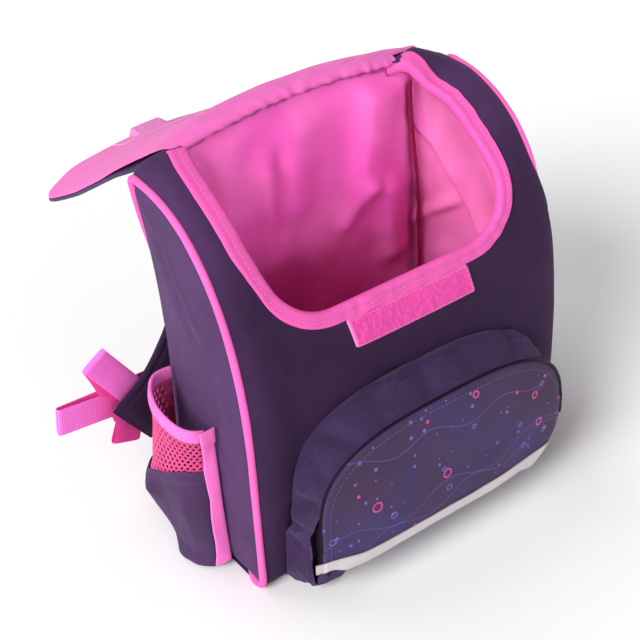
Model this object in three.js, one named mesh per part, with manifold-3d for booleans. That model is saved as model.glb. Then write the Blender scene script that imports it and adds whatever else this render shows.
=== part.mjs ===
// Toddler backpack standing on its base with the lid thrown open to the back.
// Millimetres, +Z up, front towards -Y, origin on the floor under the middle of the base.

import * as THREE from 'three';
import Module from 'manifold-3d';

// Main body: an arched front and top, flat back and flat base
const BODY_WIDTH = 240;
const BODY_DEPTH = 104;
const BODY_HEIGHT = 253;
const FRONT_STRAIGHT = 93;
const ARCH_POWER = 2.43;
const FRONT_BULGE = 6;
const SIDE_BULGE = 4;
const BACK_PINCH = 9;
const PINCH_FROM_Y = -20;
const BULGE_FULL_FROM = 70;
const FOOT_RADIUS = 8;
const BACK_RADIUS = 5;

// Cloth thicknesses and the clearance kept between sewn pieces
const WALL = 2;
const LINING_WALL = 1;
const LINING_BASE_INSET = 5;
const GAP = 0.3;
const SEAT = 0.6;

// Piping around each side panel: how far its core lies inside the corner
const PIPING_RADIUS = 2.2;
const PIPING_INSET = 0.4;
const PIPING_BASE_INSET = 2.3;
const PIPING_SIDES = 7;

// Mouth, measured along the front panel's arc from the floor
const MOUTH_FRONT = 181;
const MOUTH_HALF = 91;
const MOUTH_BACK_HALF = 86;
const MOUTH_CORNER = 40;
const MOUTH_TAPER_FROM = 265;
const MOUTH_CUT_OUT = 15;
const MOUTH_CUT_IN = 12;

// Folded tape on the mouth's edge
const BINDING_OUTER = 10;
const BINDING_INNER = 8;
const BINDING_THICK = 1;

// Hook and loop closure
const CLOSURE_HALF = 46;
const CLOSURE_HEIGHT = 20;
const CLOSURE_TOP = 170.6;
const CLOSURE_THICK = 1.5;

// Lid: rises from the hinge, bends over and droops behind the back
const LID = {
  length: 198, hingeHalf: 96, half: 111, flareLength: 60, corner: 38,
  riseDeg: 20, droopDeg: -37, curlDeg: 14, bendLength: 27, edgeDroop: 13, droopFrom: 0, droopFull: 40,
  outerThick: 2.6, liningThick: 1, outerStart: 7, hingeDrop: 0.1,
};

// Front pocket: upper and lower halves are superellipses about a middle height
const POCKET = {
  middle: 55, upperPower: 3, lowerLeftPower: 7, lowerRightPower: 3.2, frontY: -88, dome: 7, wall: 1.6,
  bodyHalf: 98, bodyRise: 71, bodyDrop: 49,
  faceHalf: 97, faceRise: 61, faceDrop: 40,
  puff: 3, zipDepth: 3.6, zipWide: 2, zipLeftEnd: 22, zipRightEnd: 54,
};
const STRIP = { bottom: 19, top: 34, thick: 0.7, hem: 2 };
const ZIP_PULL = { width: 5, length: 17, thick: 2.4, top: 73 };

// Side pocket, on the side panel between a front and a back seam
const SIDE_POCKET = {
  frontY: -17, backY: 43, floor: 2, seat: 1.2, pipingTop: 5, meshFrom: 74, frontTop: 112, backTop: 123,
  rimBulge: 20, middleBulge: 26, footBulge: 20, wall: 1, bindingHeight: 8, trimShare: 0.11,
};

// Padded shoulder strap and its webbing
const STRAP = { width: 42, thick: 7 };
const WEBBING = { width: 20, thick: 1.4, pitch: 3.2 };

// Folds of the pocket's gusset: place round its outline (share), depth and spread
const GUSSET_FOLDS = [
  { share: 0.13, depth: 2.0, spread: 0.02 },
  { share: 0.27, depth: 1.6, spread: 0.025 },
  { share: 0.40, depth: 1.3, spread: 0.02 },
  { share: 0.62, depth: 1.5, spread: 0.025 },
];

// Left strap's middle line, from its top seam to its free end
const STRAP_ROUTE = [
  { x: -45, y: 55.9, z: 242 },
  { x: -46, y: 56.2, z: 226 },
  { x: -51, y: 63, z: 200 },
  { x: -60, y: 71, z: 165 },
  { x: -71, y: 76, z: 130 },
  { x: -85, y: 78.5, z: 100 },
  { x: -105, y: 79, z: 75 },
  { x: -130, y: 79, z: 57 },
];

// Folded loops of the left webbing: direction in the XZ plane and length from the hub
const WEBBING_HUB = { x: -119, y: 84, z: 72 };
const WEBBING_LOOPS = [
  { angleDeg: 123, length: 51 },
  { angleDeg: 174, length: 58 },
  { angleDeg: 252, length: 31 },
];
const WEBBING_TAIL = [
  { x: -118, y: 93, z: 60 },
  { x: -113, y: 88, z: 34 },
  { x: -107, y: 68, z: 20 },
  { x: -102, y: 55, z: 16 },
  { x: -96, y: 53.4, z: 15 },
  { x: -86, y: 53.3, z: 15 },
];

const COLOURS = {
  cloth: 0x3d2a52, pink: 0xff5fb8, lining: 0xe850a8, print: 0x43366e, mesh: 0xf2508f,
  strip: 0xcfc8cc, zip: 0x1d1626, closure: 0xf4509f,
};

const HALF_WIDTH = BODY_WIDTH / 2;
const FRONT_Y = -BODY_DEPTH / 2;
const BACK_Y = BODY_DEPTH / 2;

const wasm = await Module();
wasm.setup();

const radians = (degrees) => (degrees * Math.PI) / 180;
const lerp = THREE.MathUtils.lerp;
const smooth = THREE.MathUtils.smoothstep;
const steps = (count, from, to) => Array.from({ length: count + 1 }, (_, k) => lerp(from, to, k / count));

// Solids

function signedVolume(points, triangles) {
  let sum = 0;
  for (const [a, b, c] of triangles) {
    const [ax, ay, az] = points[a];
    const [bx, by, bz] = points[b];
    const [cx, cy, cz] = points[c];
    sum += ax * (by * cz - bz * cy) - ay * (bx * cz - bz * cx) + az * (bx * cy - by * cx);
  }
  return sum / 6;
}

// A closed geometry whose faces point out
function closedGeometry(points, triangles) {
  const outward = signedVolume(points, triangles) > 0;
  const index = triangles.flatMap(([a, b, c]) => (outward ? [a, b, c] : [a, c, b]));
  const geometry = new THREE.BufferGeometry();
  geometry.setAttribute('position', new THREE.Float32BufferAttribute(points.flat(), 3));
  geometry.setIndex(index);
  return geometry;
}

function pushQuad(triangles, a, b, c, d) {
  triangles.push([a, b, c], [a, c, d]);
}

// Cloth with two faces: pointAt(row, column, face) gives a grid point of face 0 or 1
function sheetSolid(rows, columns, pointAt, wraps = false) {
  const points = [];
  for (const face of [0, 1]) {
    for (let r = 0; r < rows; r += 1) {
      for (let c = 0; c < columns; c += 1) points.push(pointAt(r, c, face));
    }
  }
  const id = (r, c, face) => (face * rows + r) * columns + (c % columns);
  const cells = wraps ? columns : columns - 1;
  const triangles = [];
  for (let r = 0; r < rows - 1; r += 1) {
    for (let c = 0; c < cells; c += 1) {
      pushQuad(triangles, id(r, c, 1), id(r, c + 1, 1), id(r + 1, c + 1, 1), id(r + 1, c, 1));
      pushQuad(triangles, id(r, c, 0), id(r + 1, c, 0), id(r + 1, c + 1, 0), id(r, c + 1, 0));
    }
  }
  for (let c = 0; c < cells; c += 1) {
    pushQuad(triangles, id(0, c, 0), id(0, c + 1, 0), id(0, c + 1, 1), id(0, c, 1));
    const end = rows - 1;
    pushQuad(triangles, id(end, c, 1), id(end, c + 1, 1), id(end, c + 1, 0), id(end, c, 0));
  }
  for (let r = 0; r < rows - 1 && !wraps; r += 1) {
    const last = columns - 1;
    pushQuad(triangles, id(r, 0, 1), id(r + 1, 0, 1), id(r + 1, 0, 0), id(r, 0, 0));
    pushQuad(triangles, id(r, last, 0), id(r + 1, last, 0), id(r + 1, last, 1), id(r, last, 1));
  }
  return closedGeometry(points, triangles);
}

// Rings of points joined in order; open lofts are capped with the flat section's triangles
function loftSolid(rings, section = null) {
  const size = rings[0].length;
  const points = rings.flat();
  const closed = section === null;
  const spans = closed ? rings.length : rings.length - 1;
  const triangles = [];
  for (let r = 0; r < spans; r += 1) {
    const next = ((r + 1) % rings.length) * size;
    for (let k = 0; k < size; k += 1) {
      const k1 = (k + 1) % size;
      pushQuad(triangles, r * size + k, r * size + k1, next + k1, next + k);
    }
  }
  if (!closed) {
    const flat = section.map(([a, b]) => new THREE.Vector2(a, b));
    const last = (rings.length - 1) * size;
    const winding = Math.sign(THREE.ShapeUtils.area(flat));
    for (const corners of THREE.ShapeUtils.triangulateShape(flat, [])) {
      const turn = Math.sign(THREE.ShapeUtils.area(corners.map((corner) => flat[corner])));
      const [a, b, c] = turn === winding ? corners : [...corners].reverse();
      triangles.push([b, a, c], [last + a, last + b, last + c]);
    }
  }
  return closedGeometry(points, triangles);
}

function toManifold(geometry) {
  const vertProperties = new Float32Array(geometry.attributes.position.array);
  const triVerts = new Uint32Array(geometry.index.array);
  return new wasm.Manifold(new wasm.Mesh({ numProp: 3, vertProperties, triVerts }));
}

// The main piece of a cut solid, without the trimmed offcuts
function toGeometry(manifold) {
  const pieces = manifold.decompose();
  const main = pieces.reduce((best, piece) => (piece.volume() > best.volume() ? piece : best));
  const mesh = main.getMesh();
  const geometry = new THREE.BufferGeometry();
  geometry.setAttribute('position', new THREE.Float32BufferAttribute(mesh.vertProperties, 3));
  geometry.setIndex(Array.from(mesh.triVerts));
  return geometry;
}

// A block between two corners, as a manifold
function block(low, high) {
  const points = [];
  for (const z of [low[2], high[2]]) {
    points.push([low[0], low[1], z], [high[0], low[1], z], [high[0], high[1], z], [low[0], high[1], z]);
  }
  return toManifold(loftSolid([points.slice(0, 4), points.slice(4)], [[0, 0], [1, 0], [1, 1], [0, 1]]));
}

function mirrored(geometry) {
  const copy = geometry.clone();
  const position = copy.attributes.position;
  for (let k = 0; k < position.count; k += 1) position.setX(k, -position.getX(k));
  const order = Array.from(copy.index.array);
  for (let k = 0; k < order.length; k += 3) [order[k + 1], order[k + 2]] = [order[k + 2], order[k + 1]];
  copy.setIndex(order);
  return copy;
}

// Body surface

// Front and top arc in the YZ plane, with its length from the floor
function frontArc() {
  const samples = [{ s: 0, y: FRONT_Y, z: 0 }];
  for (const t of steps(160, 0, Math.PI / 2)) {
    const y = BACK_Y - BODY_DEPTH * Math.cos(t) ** (2 / ARCH_POWER);
    const z = FRONT_STRAIGHT + (BODY_HEIGHT - FRONT_STRAIGHT) * Math.sin(t) ** (2 / ARCH_POWER);
    const before = samples[samples.length - 1];
    samples.push({ s: before.s + Math.hypot(y - before.y, z - before.z), y, z });
  }
  return samples;
}

const ARC = frontArc();
const ARC_LENGTH = ARC[ARC.length - 1].s;

// Place and outward normal on the arc
function arcAt(s) {
  const found = ARC.findIndex((sample) => sample.s >= s);
  const k = THREE.MathUtils.clamp(found < 0 ? ARC.length - 1 : found, 1, ARC.length - 1);
  const a = ARC[k - 1];
  const b = ARC[k];
  const share = (s - a.s) / (b.s - a.s);
  const length = b.s - a.s;
  return {
    y: lerp(a.y, b.y, share), z: lerp(a.z, b.z, share),
    ny: -(b.z - a.z) / length, nz: (b.y - a.y) / length,
  };
}

function crown(x) {
  return FRONT_BULGE * (1 - Math.min(1, Math.abs(x) / HALF_WIDTH) ** 4);
}

function frontBulge(s, x) {
  return crown(x) * THREE.MathUtils.clamp((s - FOOT_RADIUS) / (BULGE_FULL_FROM - FOOT_RADIUS), 0, 1);
}

// How far the side panel is pulled in towards the back edge
function pinch(y, z) {
  const height = Math.sin(Math.PI * THREE.MathUtils.clamp(z / BODY_HEIGHT, 0, 1));
  return BACK_PINCH * height * smooth(y, PINCH_FROM_Y, BACK_Y);
}

// Point on the front panel at arc length s, raised by h above its outer face
function frontPoint(s, x, h) {
  const at = arcAt(s);
  const reach = frontBulge(s, x) + h;
  return [x, at.y + at.ny * reach, at.z + at.nz * reach];
}

const ARC_STATIONS = [
  BULGE_FULL_FROM,
  ...steps(12, FRONT_STRAIGHT, ARC_LENGTH - BACK_RADIUS),
];

function cornerArc(cy, cz, ry, rz, fromDeg, toDeg, count) {
  const angles = steps(count, radians(fromDeg), radians(toDeg));
  return angles.map((angle) => [cy + ry * Math.cos(angle), cz + rz * Math.sin(angle)]);
}

// Steps down the straight back edge
const BACK_SHARES = [0.25, 0.5, 0.75];

// Outline of the body at x in the YZ plane, from the base's front round the top to the base's back
function bodyOutline(x, inset, baseInset = inset) {
  const footY = FRONT_Y + FOOT_RADIUS;
  const side = FOOT_RADIUS - inset;
  const outline = cornerArc(footY, FOOT_RADIUS, side, FOOT_RADIUS - baseInset, 270, 180, 3);
  for (const s of ARC_STATIONS) outline.push(frontPoint(s, x, -inset).slice(1));
  const last = outline[outline.length - 1];
  const topY = BACK_Y - BACK_RADIUS;
  const top = BACK_RADIUS - inset;
  const topCorner = cornerArc(topY, last[1] - top, top, top, 60, 0, 2);
  const footCorner = cornerArc(BACK_Y - FOOT_RADIUS, FOOT_RADIUS, side, FOOT_RADIUS - baseInset, 0, -90, 2);
  const [backY, backTop] = topCorner[topCorner.length - 1];
  const back = BACK_SHARES.map((share) => [backY, lerp(backTop, FOOT_RADIUS, share)]);
  outline.push(...topCorner, ...back, ...footCorner);
  return outline;
}

const SIDE_CENTRE = { y: 8, z: 118 };
const SIDE_RINGS = [0.76, 0.42];

// Share of the way from the side panel's centre to its outline at a point
function sideShare(y, z) {
  const outline = bodyOutline(HALF_WIDTH, 0);
  const dy = y - SIDE_CENTRE.y;
  const dz = z - SIDE_CENTRE.z;
  let share = 0;
  outline.forEach(([ay, az], k) => {
    const [by, bz] = outline[(k + 1) % outline.length];
    const ey = by - ay;
    const ez = bz - az;
    const cross = dy * ez - dz * ey;
    if (Math.abs(cross) < 1e-9) return;
    const reach = ((ay - SIDE_CENTRE.y) * ez - (az - SIDE_CENTRE.z) * ey) / cross;
    const along = ((ay - SIDE_CENTRE.y) * dz - (az - SIDE_CENTRE.z) * dy) / cross;
    if (reach > 0 && along >= 0 && along <= 1) share = Math.max(share, 1 / reach);
  });
  return share;
}

// Distance of the side panel's outer face from the bag's middle plane
function sideReach(y, z) {
  return HALF_WIDTH - pinch(y, z) + SIDE_BULGE * Math.max(0, 1 - sideShare(y, z) ** 2);
}

const CROSS_SHARES = [-1, -0.92, -0.78, -0.45, 0, 0.45, 0.78, 0.92, 1];

// The whole body as a closed form, shrunk by inset
function bodySolid(inset, baseInset = inset) {
  const end = HALF_WIDTH - inset;
  const sections = CROSS_SHARES.map((share) => {
    const outline = bodyOutline(share * end, inset, baseInset);
    return outline.map(([y, z]) => [share * (end - pinch(y, z)), y, z]);
  });
  const ringsFor = (edge, way) => SIDE_RINGS.map((share) => edge.map(([, edgeY, edgeZ]) => {
    const y = lerp(SIDE_CENTRE.y, edgeY, share);
    const z = lerp(SIDE_CENTRE.z, edgeZ, share);
    return [way * (end - pinch(y, z) + SIDE_BULGE * (1 - share ** 2)), y, z];
  }));
  const leftRings = ringsFor(sections[0], -1).reverse();
  const rightRings = ringsFor(sections[sections.length - 1], 1);
  const rings = [...leftRings, ...sections, ...rightRings];
  const size = rings[0].length;
  const points = rings.flat();
  const triangles = [];
  for (let r = 0; r < rings.length - 1; r += 1) {
    for (let k = 0; k < size; k += 1) {
      const k1 = (k + 1) % size;
      pushQuad(triangles, r * size + k, r * size + k1, (r + 1) * size + k1, (r + 1) * size + k);
    }
  }
  const lastRing = (rings.length - 1) * size;
  const middle = end - pinch(SIDE_CENTRE.y, SIDE_CENTRE.z) + SIDE_BULGE;
  points.push([-middle, SIDE_CENTRE.y, SIDE_CENTRE.z], [middle, SIDE_CENTRE.y, SIDE_CENTRE.z]);
  for (let k = 0; k < size; k += 1) {
    const k1 = (k + 1) % size;
    triangles.push([k1, k, points.length - 2], [lastRing + k, lastRing + k1, points.length - 1]);
  }
  return toManifold(closedGeometry(points, triangles));
}

// Piping core round the left side panel
function pipingSolid(radius) {
  const outline = bodyOutline(HALF_WIDTH, PIPING_INSET, PIPING_BASE_INSET);
  const rings = outline.map(([y, z], k) => {
    const x = -HALF_WIDTH + PIPING_INSET + pinch(y, z);
    const [ay, az] = outline[(k + outline.length - 1) % outline.length];
    const [by, bz] = outline[(k + 1) % outline.length];
    const normal = new THREE.Vector2(az - bz, by - ay).normalize();
    return steps(PIPING_SIDES, 0, 2 * Math.PI).slice(1).map((a) => [
      x + radius * Math.sin(a),
      y + normal.x * radius * Math.cos(a),
      z + normal.y * radius * Math.cos(a),
    ]);
  });
  return loftSolid(rings);
}

// Mouth

// Right half of the mouth's edge on the front panel, from the middle of the front to the back
function mouthHalf() {
  const corner = steps(6, -90, 0).map((degrees) => ({
    s: MOUTH_FRONT + MOUTH_CORNER * (1 + Math.sin(radians(degrees))),
    x: MOUTH_HALF - MOUTH_CORNER * (1 - Math.cos(radians(degrees))),
  }));
  const from = MOUTH_FRONT + MOUTH_CORNER;
  const side = steps(5, from, ARC_LENGTH - BACK_RADIUS - GAP - LINING_WALL).slice(1).map((s) => ({
    s, x: lerp(MOUTH_HALF, MOUTH_BACK_HALF, smooth(s, MOUTH_TAPER_FROM, ARC_LENGTH)),
  }));
  return [...corner, ...side];
}

function mouthCutter() {
  const rows = mouthHalf();
  const last = rows[rows.length - 1];
  rows.push({ s: ARC_LENGTH - 1, x: last.x });
  const rings = rows.map(({ s, x }) => [
    frontPoint(s, -x, MOUTH_CUT_OUT), frontPoint(s, x, MOUTH_CUT_OUT),
    frontPoint(s, x, -MOUTH_CUT_IN), frontPoint(s, -x, -MOUTH_CUT_IN),
  ]);
  return toManifold(loftSolid(rings, [[0, 1], [1, 1], [1, 0], [0, 0]]));
}

// Folded tape over the mouth's edge: section as distance into the cloth and height on it
function openingBinding() {
  const outer = SEAT;
  const inner = -(WALL + GAP + LINING_WALL + SEAT);
  const section = [
    [BINDING_OUTER, outer], [BINDING_OUTER, outer + BINDING_THICK],
    [-GAP - BINDING_THICK, outer + BINDING_THICK], [-GAP - BINDING_THICK, inner - BINDING_THICK],
    [BINDING_INNER, inner - BINDING_THICK], [BINDING_INNER, inner],
    [-GAP, inner], [-GAP, outer],
  ];
  const right = mouthHalf();
  const left = right.map(({ s, x }) => ({ s, x: -x })).reverse();
  const edge = [...left, { s: MOUTH_FRONT, x: 0 }, ...right];
  const rings = edge.map(({ s, x }, k) => {
    const before = edge[Math.max(0, k - 1)];
    const after = edge[Math.min(edge.length - 1, k + 1)];
    const into = new THREE.Vector2(-(after.x - before.x), after.s - before.s).normalize();
    return section.map(([distance, h]) => frontPoint(s + into.x * distance, x + into.y * distance, h));
  });
  return loftSolid(rings, section);
}

// Body panels, cut from a shell and parted along the seams

// Offcuts of the seams are smaller than this volume
const SMALLEST_PANEL = 1000;

function bodyPanels() {
  const far = 400;
  const shell = bodySolid(0).subtract(bodySolid(WALL));
  const channelLeft = pipingSolid(PIPING_RADIUS + GAP);
  const channels = toManifold(channelLeft).add(toManifold(mirrored(channelLeft)));
  const mouth = mouthCutter();
  const parts = shell.subtract(channels).decompose().filter((part) => part.volume() > SMALLEST_PANEL);
  const sideLeft = parts.find((part) => part.boundingBox().max[0] < 0);
  const sideRight = parts.find((part) => part.boundingBox().min[0] > 0);
  const middle = parts.find((part) => part !== sideLeft && part !== sideRight);
  const turnUp = FOOT_RADIUS + 1;
  const baseZone = block([-far, -far, -far], [far, far, WALL])
    .add(block([-far, BACK_Y - turnUp, -far], [far, far, turnUp]));
  const inner = block([-far, -far, WALL + GAP], [far, BACK_Y - WALL - GAP, far]);
  const mouthCut = mouth.intersect(block([-far, -far, -far], [far, BACK_Y - WALL - GAP, far]));
  const liningCut = mouth.intersect(block([-far, -far, -far], [far, BACK_Y - WALL - GAP - LINING_WALL, far]));
  const liningOuter = bodySolid(WALL + GAP, LINING_BASE_INSET);
  const liningInner = bodySolid(WALL + GAP + LINING_WALL, LINING_BASE_INSET + LINING_WALL);
  return {
    front: toGeometry(middle.intersect(inner).subtract(mouthCut)),
    back: toGeometry(middle.intersect(block([-far, BACK_Y - WALL, turnUp + GAP], [far, far, far]))),
    base: toGeometry(middle.intersect(baseZone)),
    sideLeft: toGeometry(sideLeft),
    sideRight: toGeometry(sideRight),
    lining: toGeometry(liningOuter.subtract(liningInner).subtract(liningCut)),
  };
}

// Flat tape on the front panel
function closureStripFront() {
  const across = steps(6, -CLOSURE_HALF, CLOSURE_HALF);
  const up = steps(2, CLOSURE_TOP - CLOSURE_HEIGHT, CLOSURE_TOP);
  return sheetSolid(up.length, across.length, (r, c, face) => (
    frontPoint(up[r], across[c], SEAT + face * CLOSURE_THICK)));
}

// Lid

const LID_STATIONS = [0, 7, 14, 21, 29, 40, 58, 90, 125, 160, 177, 190, 198];
const LID_SHARES = [-1, -0.86, -0.6, 0, 0.6, 0.86, 1];

// Lid's middle line: place and slope at distance u from the hinge
function lidLine(u) {
  const count = 60;
  let y = BACK_Y - WALL - GAP - LINING_WALL;
  let z = 0;
  let slope = radians(LID.riseDeg);
  for (let k = 0; k < count; k += 1) {
    const at = ((k + 0.5) / count) * u;
    const bend = lerp(LID.droopDeg, LID.riseDeg, Math.exp(-((at / LID.bendLength) ** 2)));
    slope = radians(bend + LID.curlDeg * (at / LID.length) ** 2);
    y += (Math.cos(slope) * u) / count;
    z += (Math.sin(slope) * u) / count;
  }
  return { y, z, slope };
}

function lidHalf(u) {
  const straight = lerp(LID.hingeHalf, LID.half, Math.min(1, u / LID.flareLength));
  const over = Math.max(0, u - (LID.length - LID.corner));
  return straight - LID.corner + Math.sqrt(LID.corner ** 2 - over ** 2);
}

// Point of the lid at distance u from the hinge, share v of the half width, height h on the lining side
function lidPoint(u, v, h) {
  const line = lidLine(u);
  const x = v * lidHalf(u);
  const hinge = BODY_HEIGHT + crown(Math.min(Math.abs(x), HALF_WIDTH)) - LID.hingeDrop;
  const fall = LID.edgeDroop * (x / LID.half) ** 4 * smooth(u, LID.droopFrom, LID.droopFull);
  return [x, line.y - Math.sin(line.slope) * h, hinge + line.z - fall + Math.cos(line.slope) * h];
}

function lidSheet(from, low, high) {
  const stations = LID_STATIONS.filter((u) => u >= from);
  return sheetSolid(stations.length, LID_SHARES.length, (r, c, face) => (
    lidPoint(stations[r], LID_SHARES[c], face ? high : low)));
}

function closureStripLid() {
  const along = steps(2, LID.length - CLOSURE_HEIGHT - 4, LID.length - 4);
  const across = steps(6, -CLOSURE_HALF, CLOSURE_HALF);
  const low = LID.liningThick + SEAT;
  return sheetSolid(along.length, across.length, (r, c, face) => (
    lidPoint(along[r], across[c] / lidHalf(along[r]), low + face * CLOSURE_THICK)));
}

// Front pocket

const POCKET_LEVELS = [-80, -62, -40, -15, 4, 16, 32, 48, 62, 73, 81].map(radians);
const POCKET_SHARES = [-1, -0.75, -0.4, 0, 0.4, 0.75, 1];

// Half width and height of the pocket's outline at a level angle and share of the width
function pocketLevel({ angle, share }, half, rise, drop) {
  const lowerPower = lerp(POCKET.lowerLeftPower, POCKET.lowerRightPower, (share + 1) / 2);
  const power = angle > 0 ? POCKET.upperPower : lowerPower;
  const reach = angle > 0 ? rise : drop;
  const up = Math.abs(Math.sin(angle)) ** (2 / power) * Math.sign(angle);
  return { half: half * Math.cos(angle) ** (2 / power), z: POCKET.middle + reach * up };
}

// How far a point of the pocket's face lies towards its outline
function faceShare(x, z) {
  const power = z > POCKET.middle ? POCKET.upperPower : POCKET.lowerLeftPower;
  const reach = z > POCKET.middle ? POCKET.faceRise : POCKET.faceDrop;
  const sum = (Math.abs(x) / POCKET.faceHalf) ** power + (Math.abs(z - POCKET.middle) / reach) ** power;
  return Math.min(1, sum ** (1 / power));
}

// Point of the pocket's face, raised by h
function facePoint(x, z, h) {
  return [x, POCKET.frontY - POCKET.dome * (1 - faceShare(x, z) ** 2) - h, z];
}

function pocketPanel() {
  return sheetSolid(POCKET_LEVELS.length, POCKET_SHARES.length, (r, c, face) => {
    const spot = { angle: POCKET_LEVELS[r], share: POCKET_SHARES[c] };
    const level = pocketLevel(spot, POCKET.faceHalf, POCKET.faceRise, POCKET.faceDrop);
    const point = facePoint(level.half * spot.share, level.z, 0);
    const onEdge = Math.abs(spot.share) === 1 || r === 0 || r === POCKET_LEVELS.length - 1;
    return [point[0], (onEdge ? POCKET.frontY : point[1]) + (face ? 0 : POCKET.wall), point[2]];
  });
}

// Loop of level angle and share round the pocket: up the left side, across, down the right side, back
function pocketLoop() {
  const top = POCKET_LEVELS[POCKET_LEVELS.length - 1];
  const bottom = POCKET_LEVELS[0];
  const inner = POCKET_SHARES.slice(1, -1);
  return [
    ...POCKET_LEVELS.map((angle) => ({ angle, share: -1 })),
    ...inner.map((share) => ({ angle: top, share })),
    ...[...POCKET_LEVELS].reverse().map((angle) => ({ angle, share: 1 })),
    ...[...inner].reverse().map((share) => ({ angle: bottom, share })),
  ];
}

// Front face of the body at a height
function frontFaceY(x, z) {
  let low = 0;
  let high = ARC_LENGTH;
  for (let k = 0; k < 40; k += 1) {
    const middle = (low + high) / 2;
    if (frontPoint(middle, x, 0)[2] < z) low = middle;
    else high = middle;
  }
  return frontPoint(low, x, 0)[1];
}

// Inward dent of the gusset at a share of its loop
function gussetFold(share) {
  return GUSSET_FOLDS.reduce((sum, fold) => (
    sum + fold.depth * Math.exp(-(((share - fold.share) / fold.spread) ** 2))), 0);
}

function isZipped(spot) {
  const level = pocketLevel(spot, POCKET.faceHalf, POCKET.faceRise, POCKET.faceDrop);
  return level.z > (spot.share < 0 ? POCKET.zipLeftEnd : POCKET.zipRightEnd);
}

function pocketGusset() {
  const loop = pocketLoop();
  const rows = [
    { depth: 0, half: POCKET.bodyHalf, rise: POCKET.bodyRise, drop: POCKET.bodyDrop, puff: 0 },
    { depth: 0.3, half: POCKET.bodyHalf, rise: POCKET.bodyRise, drop: POCKET.bodyDrop, puff: 1 },
    { depth: 0.7, half: POCKET.faceHalf, rise: POCKET.faceRise, drop: POCKET.faceDrop, puff: 1 },
    { depth: 1, half: POCKET.faceHalf, rise: POCKET.faceRise, drop: POCKET.faceDrop, puff: 0 },
  ];
  return sheetSolid(rows.length, loop.length, (r, c, face) => {
    const row = rows[r];
    const spot = loop[c];
    const puff = row.puff * (POCKET.puff - gussetFold(c / loop.length)) * (spot.angle > 0 ? 1 : 0.5);
    const grow = puff - (face ? 0 : POCKET.wall);
    const level = pocketLevel(spot, row.half + grow, row.rise + grow, row.drop + Math.min(grow, 0));
    const x = level.half * spot.share;
    const frontEdge = POCKET.frontY + POCKET.wall + GAP + (isZipped(spot) ? POCKET.zipDepth : 0);
    return [x, lerp(frontFaceY(x, level.z) - SEAT, frontEdge, row.depth), level.z];
  }, true);
}

// Zip tape and coil between the gusset's front edge and the pocket's face
function pocketZip() {
  const loop = pocketLoop().filter(isZipped);
  const back = POCKET.frontY + POCKET.wall + POCKET.zipDepth;
  const front = POCKET.frontY + POCKET.wall + GAP;
  return sheetSolid(2, loop.length, (r, c, face) => {
    const grow = face ? 0 : -POCKET.zipWide;
    const spot = loop[c];
    const level = pocketLevel(spot, POCKET.faceHalf + grow, POCKET.faceRise + grow, POCKET.faceDrop + grow);
    return [level.half * spot.share, r ? front : back, level.z];
  });
}

// Slider with its pull, lying against the zip on the right of the pocket
function zipPull() {
  const half = ZIP_PULL.width / 2;
  const shape = new THREE.Shape();
  shape.moveTo(-half, 0);
  shape.lineTo(half, 0);
  shape.lineTo(half * 0.7, -ZIP_PULL.length + half);
  shape.absarc(0, -ZIP_PULL.length + half, half * 0.7, 0, -Math.PI, true);
  shape.closePath();
  const options = { depth: ZIP_PULL.thick, bevelEnabled: false, curveSegments: 6 };
  const geometry = new THREE.ExtrudeGeometry(shape, options);
  geometry.rotateX(Math.PI / 2);
  geometry.rotateZ(Math.PI / 2);
  return geometry;
}

function reflectiveStrip() {
  const across = steps(10, 0, 1);
  const up = steps(2, STRIP.bottom, STRIP.top);
  const edge = (z, power) => {
    const down = (POCKET.middle - z) / POCKET.faceDrop;
    return POCKET.faceHalf * (1 - down ** power) ** (1 / power);
  };
  return sheetSolid(up.length, across.length, (r, c, face) => {
    const from = -edge(up[r], POCKET.lowerLeftPower) + STRIP.hem;
    const to = edge(up[r], POCKET.lowerRightPower) - STRIP.hem;
    return facePoint(lerp(from, to, across[c]), up[r], SEAT + face * STRIP.thick);
  });
}

// Side pocket, left; round runs from the front seam (0) to the back seam (1)

const ROUND_STATIONS = [0, 0.05, 0.11, 0.25, 0.4, 0.55, 0.7, 0.82, 0.93, 1];

function sidePocketTop(round) {
  return lerp(SIDE_POCKET.frontTop, SIDE_POCKET.backTop, round ** 1.6);
}

function sidePocketBulge(z) {
  const middle = SIDE_POCKET.meshFrom;
  if (z < middle) return lerp(SIDE_POCKET.footBulge, SIDE_POCKET.middleBulge, smooth(z, 0, middle));
  return lerp(SIDE_POCKET.middleBulge, SIDE_POCKET.rimBulge, smooth(z, middle, SIDE_POCKET.backTop));
}

// Where the side pocket meets the bag: on the side panel, or outside the piping near the floor
function pocketSeat(y, z) {
  const piping = HALF_WIDTH - PIPING_INSET + PIPING_RADIUS + GAP;
  return z < SIDE_POCKET.pipingTop ? piping : sideReach(y, z) + SIDE_POCKET.seat;
}

// Point on the side pocket at a place round it, a height, and a depth below its outer face
function sidePocketPoint(round, z, depth) {
  const angle = round * Math.PI;
  const flat = Math.sin(angle) ** 0.6;
  const y = lerp(SIDE_POCKET.frontY, SIDE_POCKET.backY, (1 - Math.cos(angle)) / 2);
  const seat = pocketSeat(y, z) + SIDE_POCKET.wall;
  const reach = seat + sidePocketBulge(z) * flat - depth;
  const shift = depth * Math.cos(angle);
  return [-reach, y + shift, z];
}

function sidePocketSheet(rounds, heights, depthLow, depthHigh) {
  return sheetSolid(heights.length, rounds.length, (r, c, face) => {
    const z = heights[r](rounds[c]);
    return sidePocketPoint(rounds[c], z, face ? depthLow : depthHigh);
  });
}

const clothRounds = ROUND_STATIONS.filter((round) => round >= SIDE_POCKET.trimShare);
const trimRounds = ROUND_STATIONS.filter((round) => round <= SIDE_POCKET.trimShare);

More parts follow.
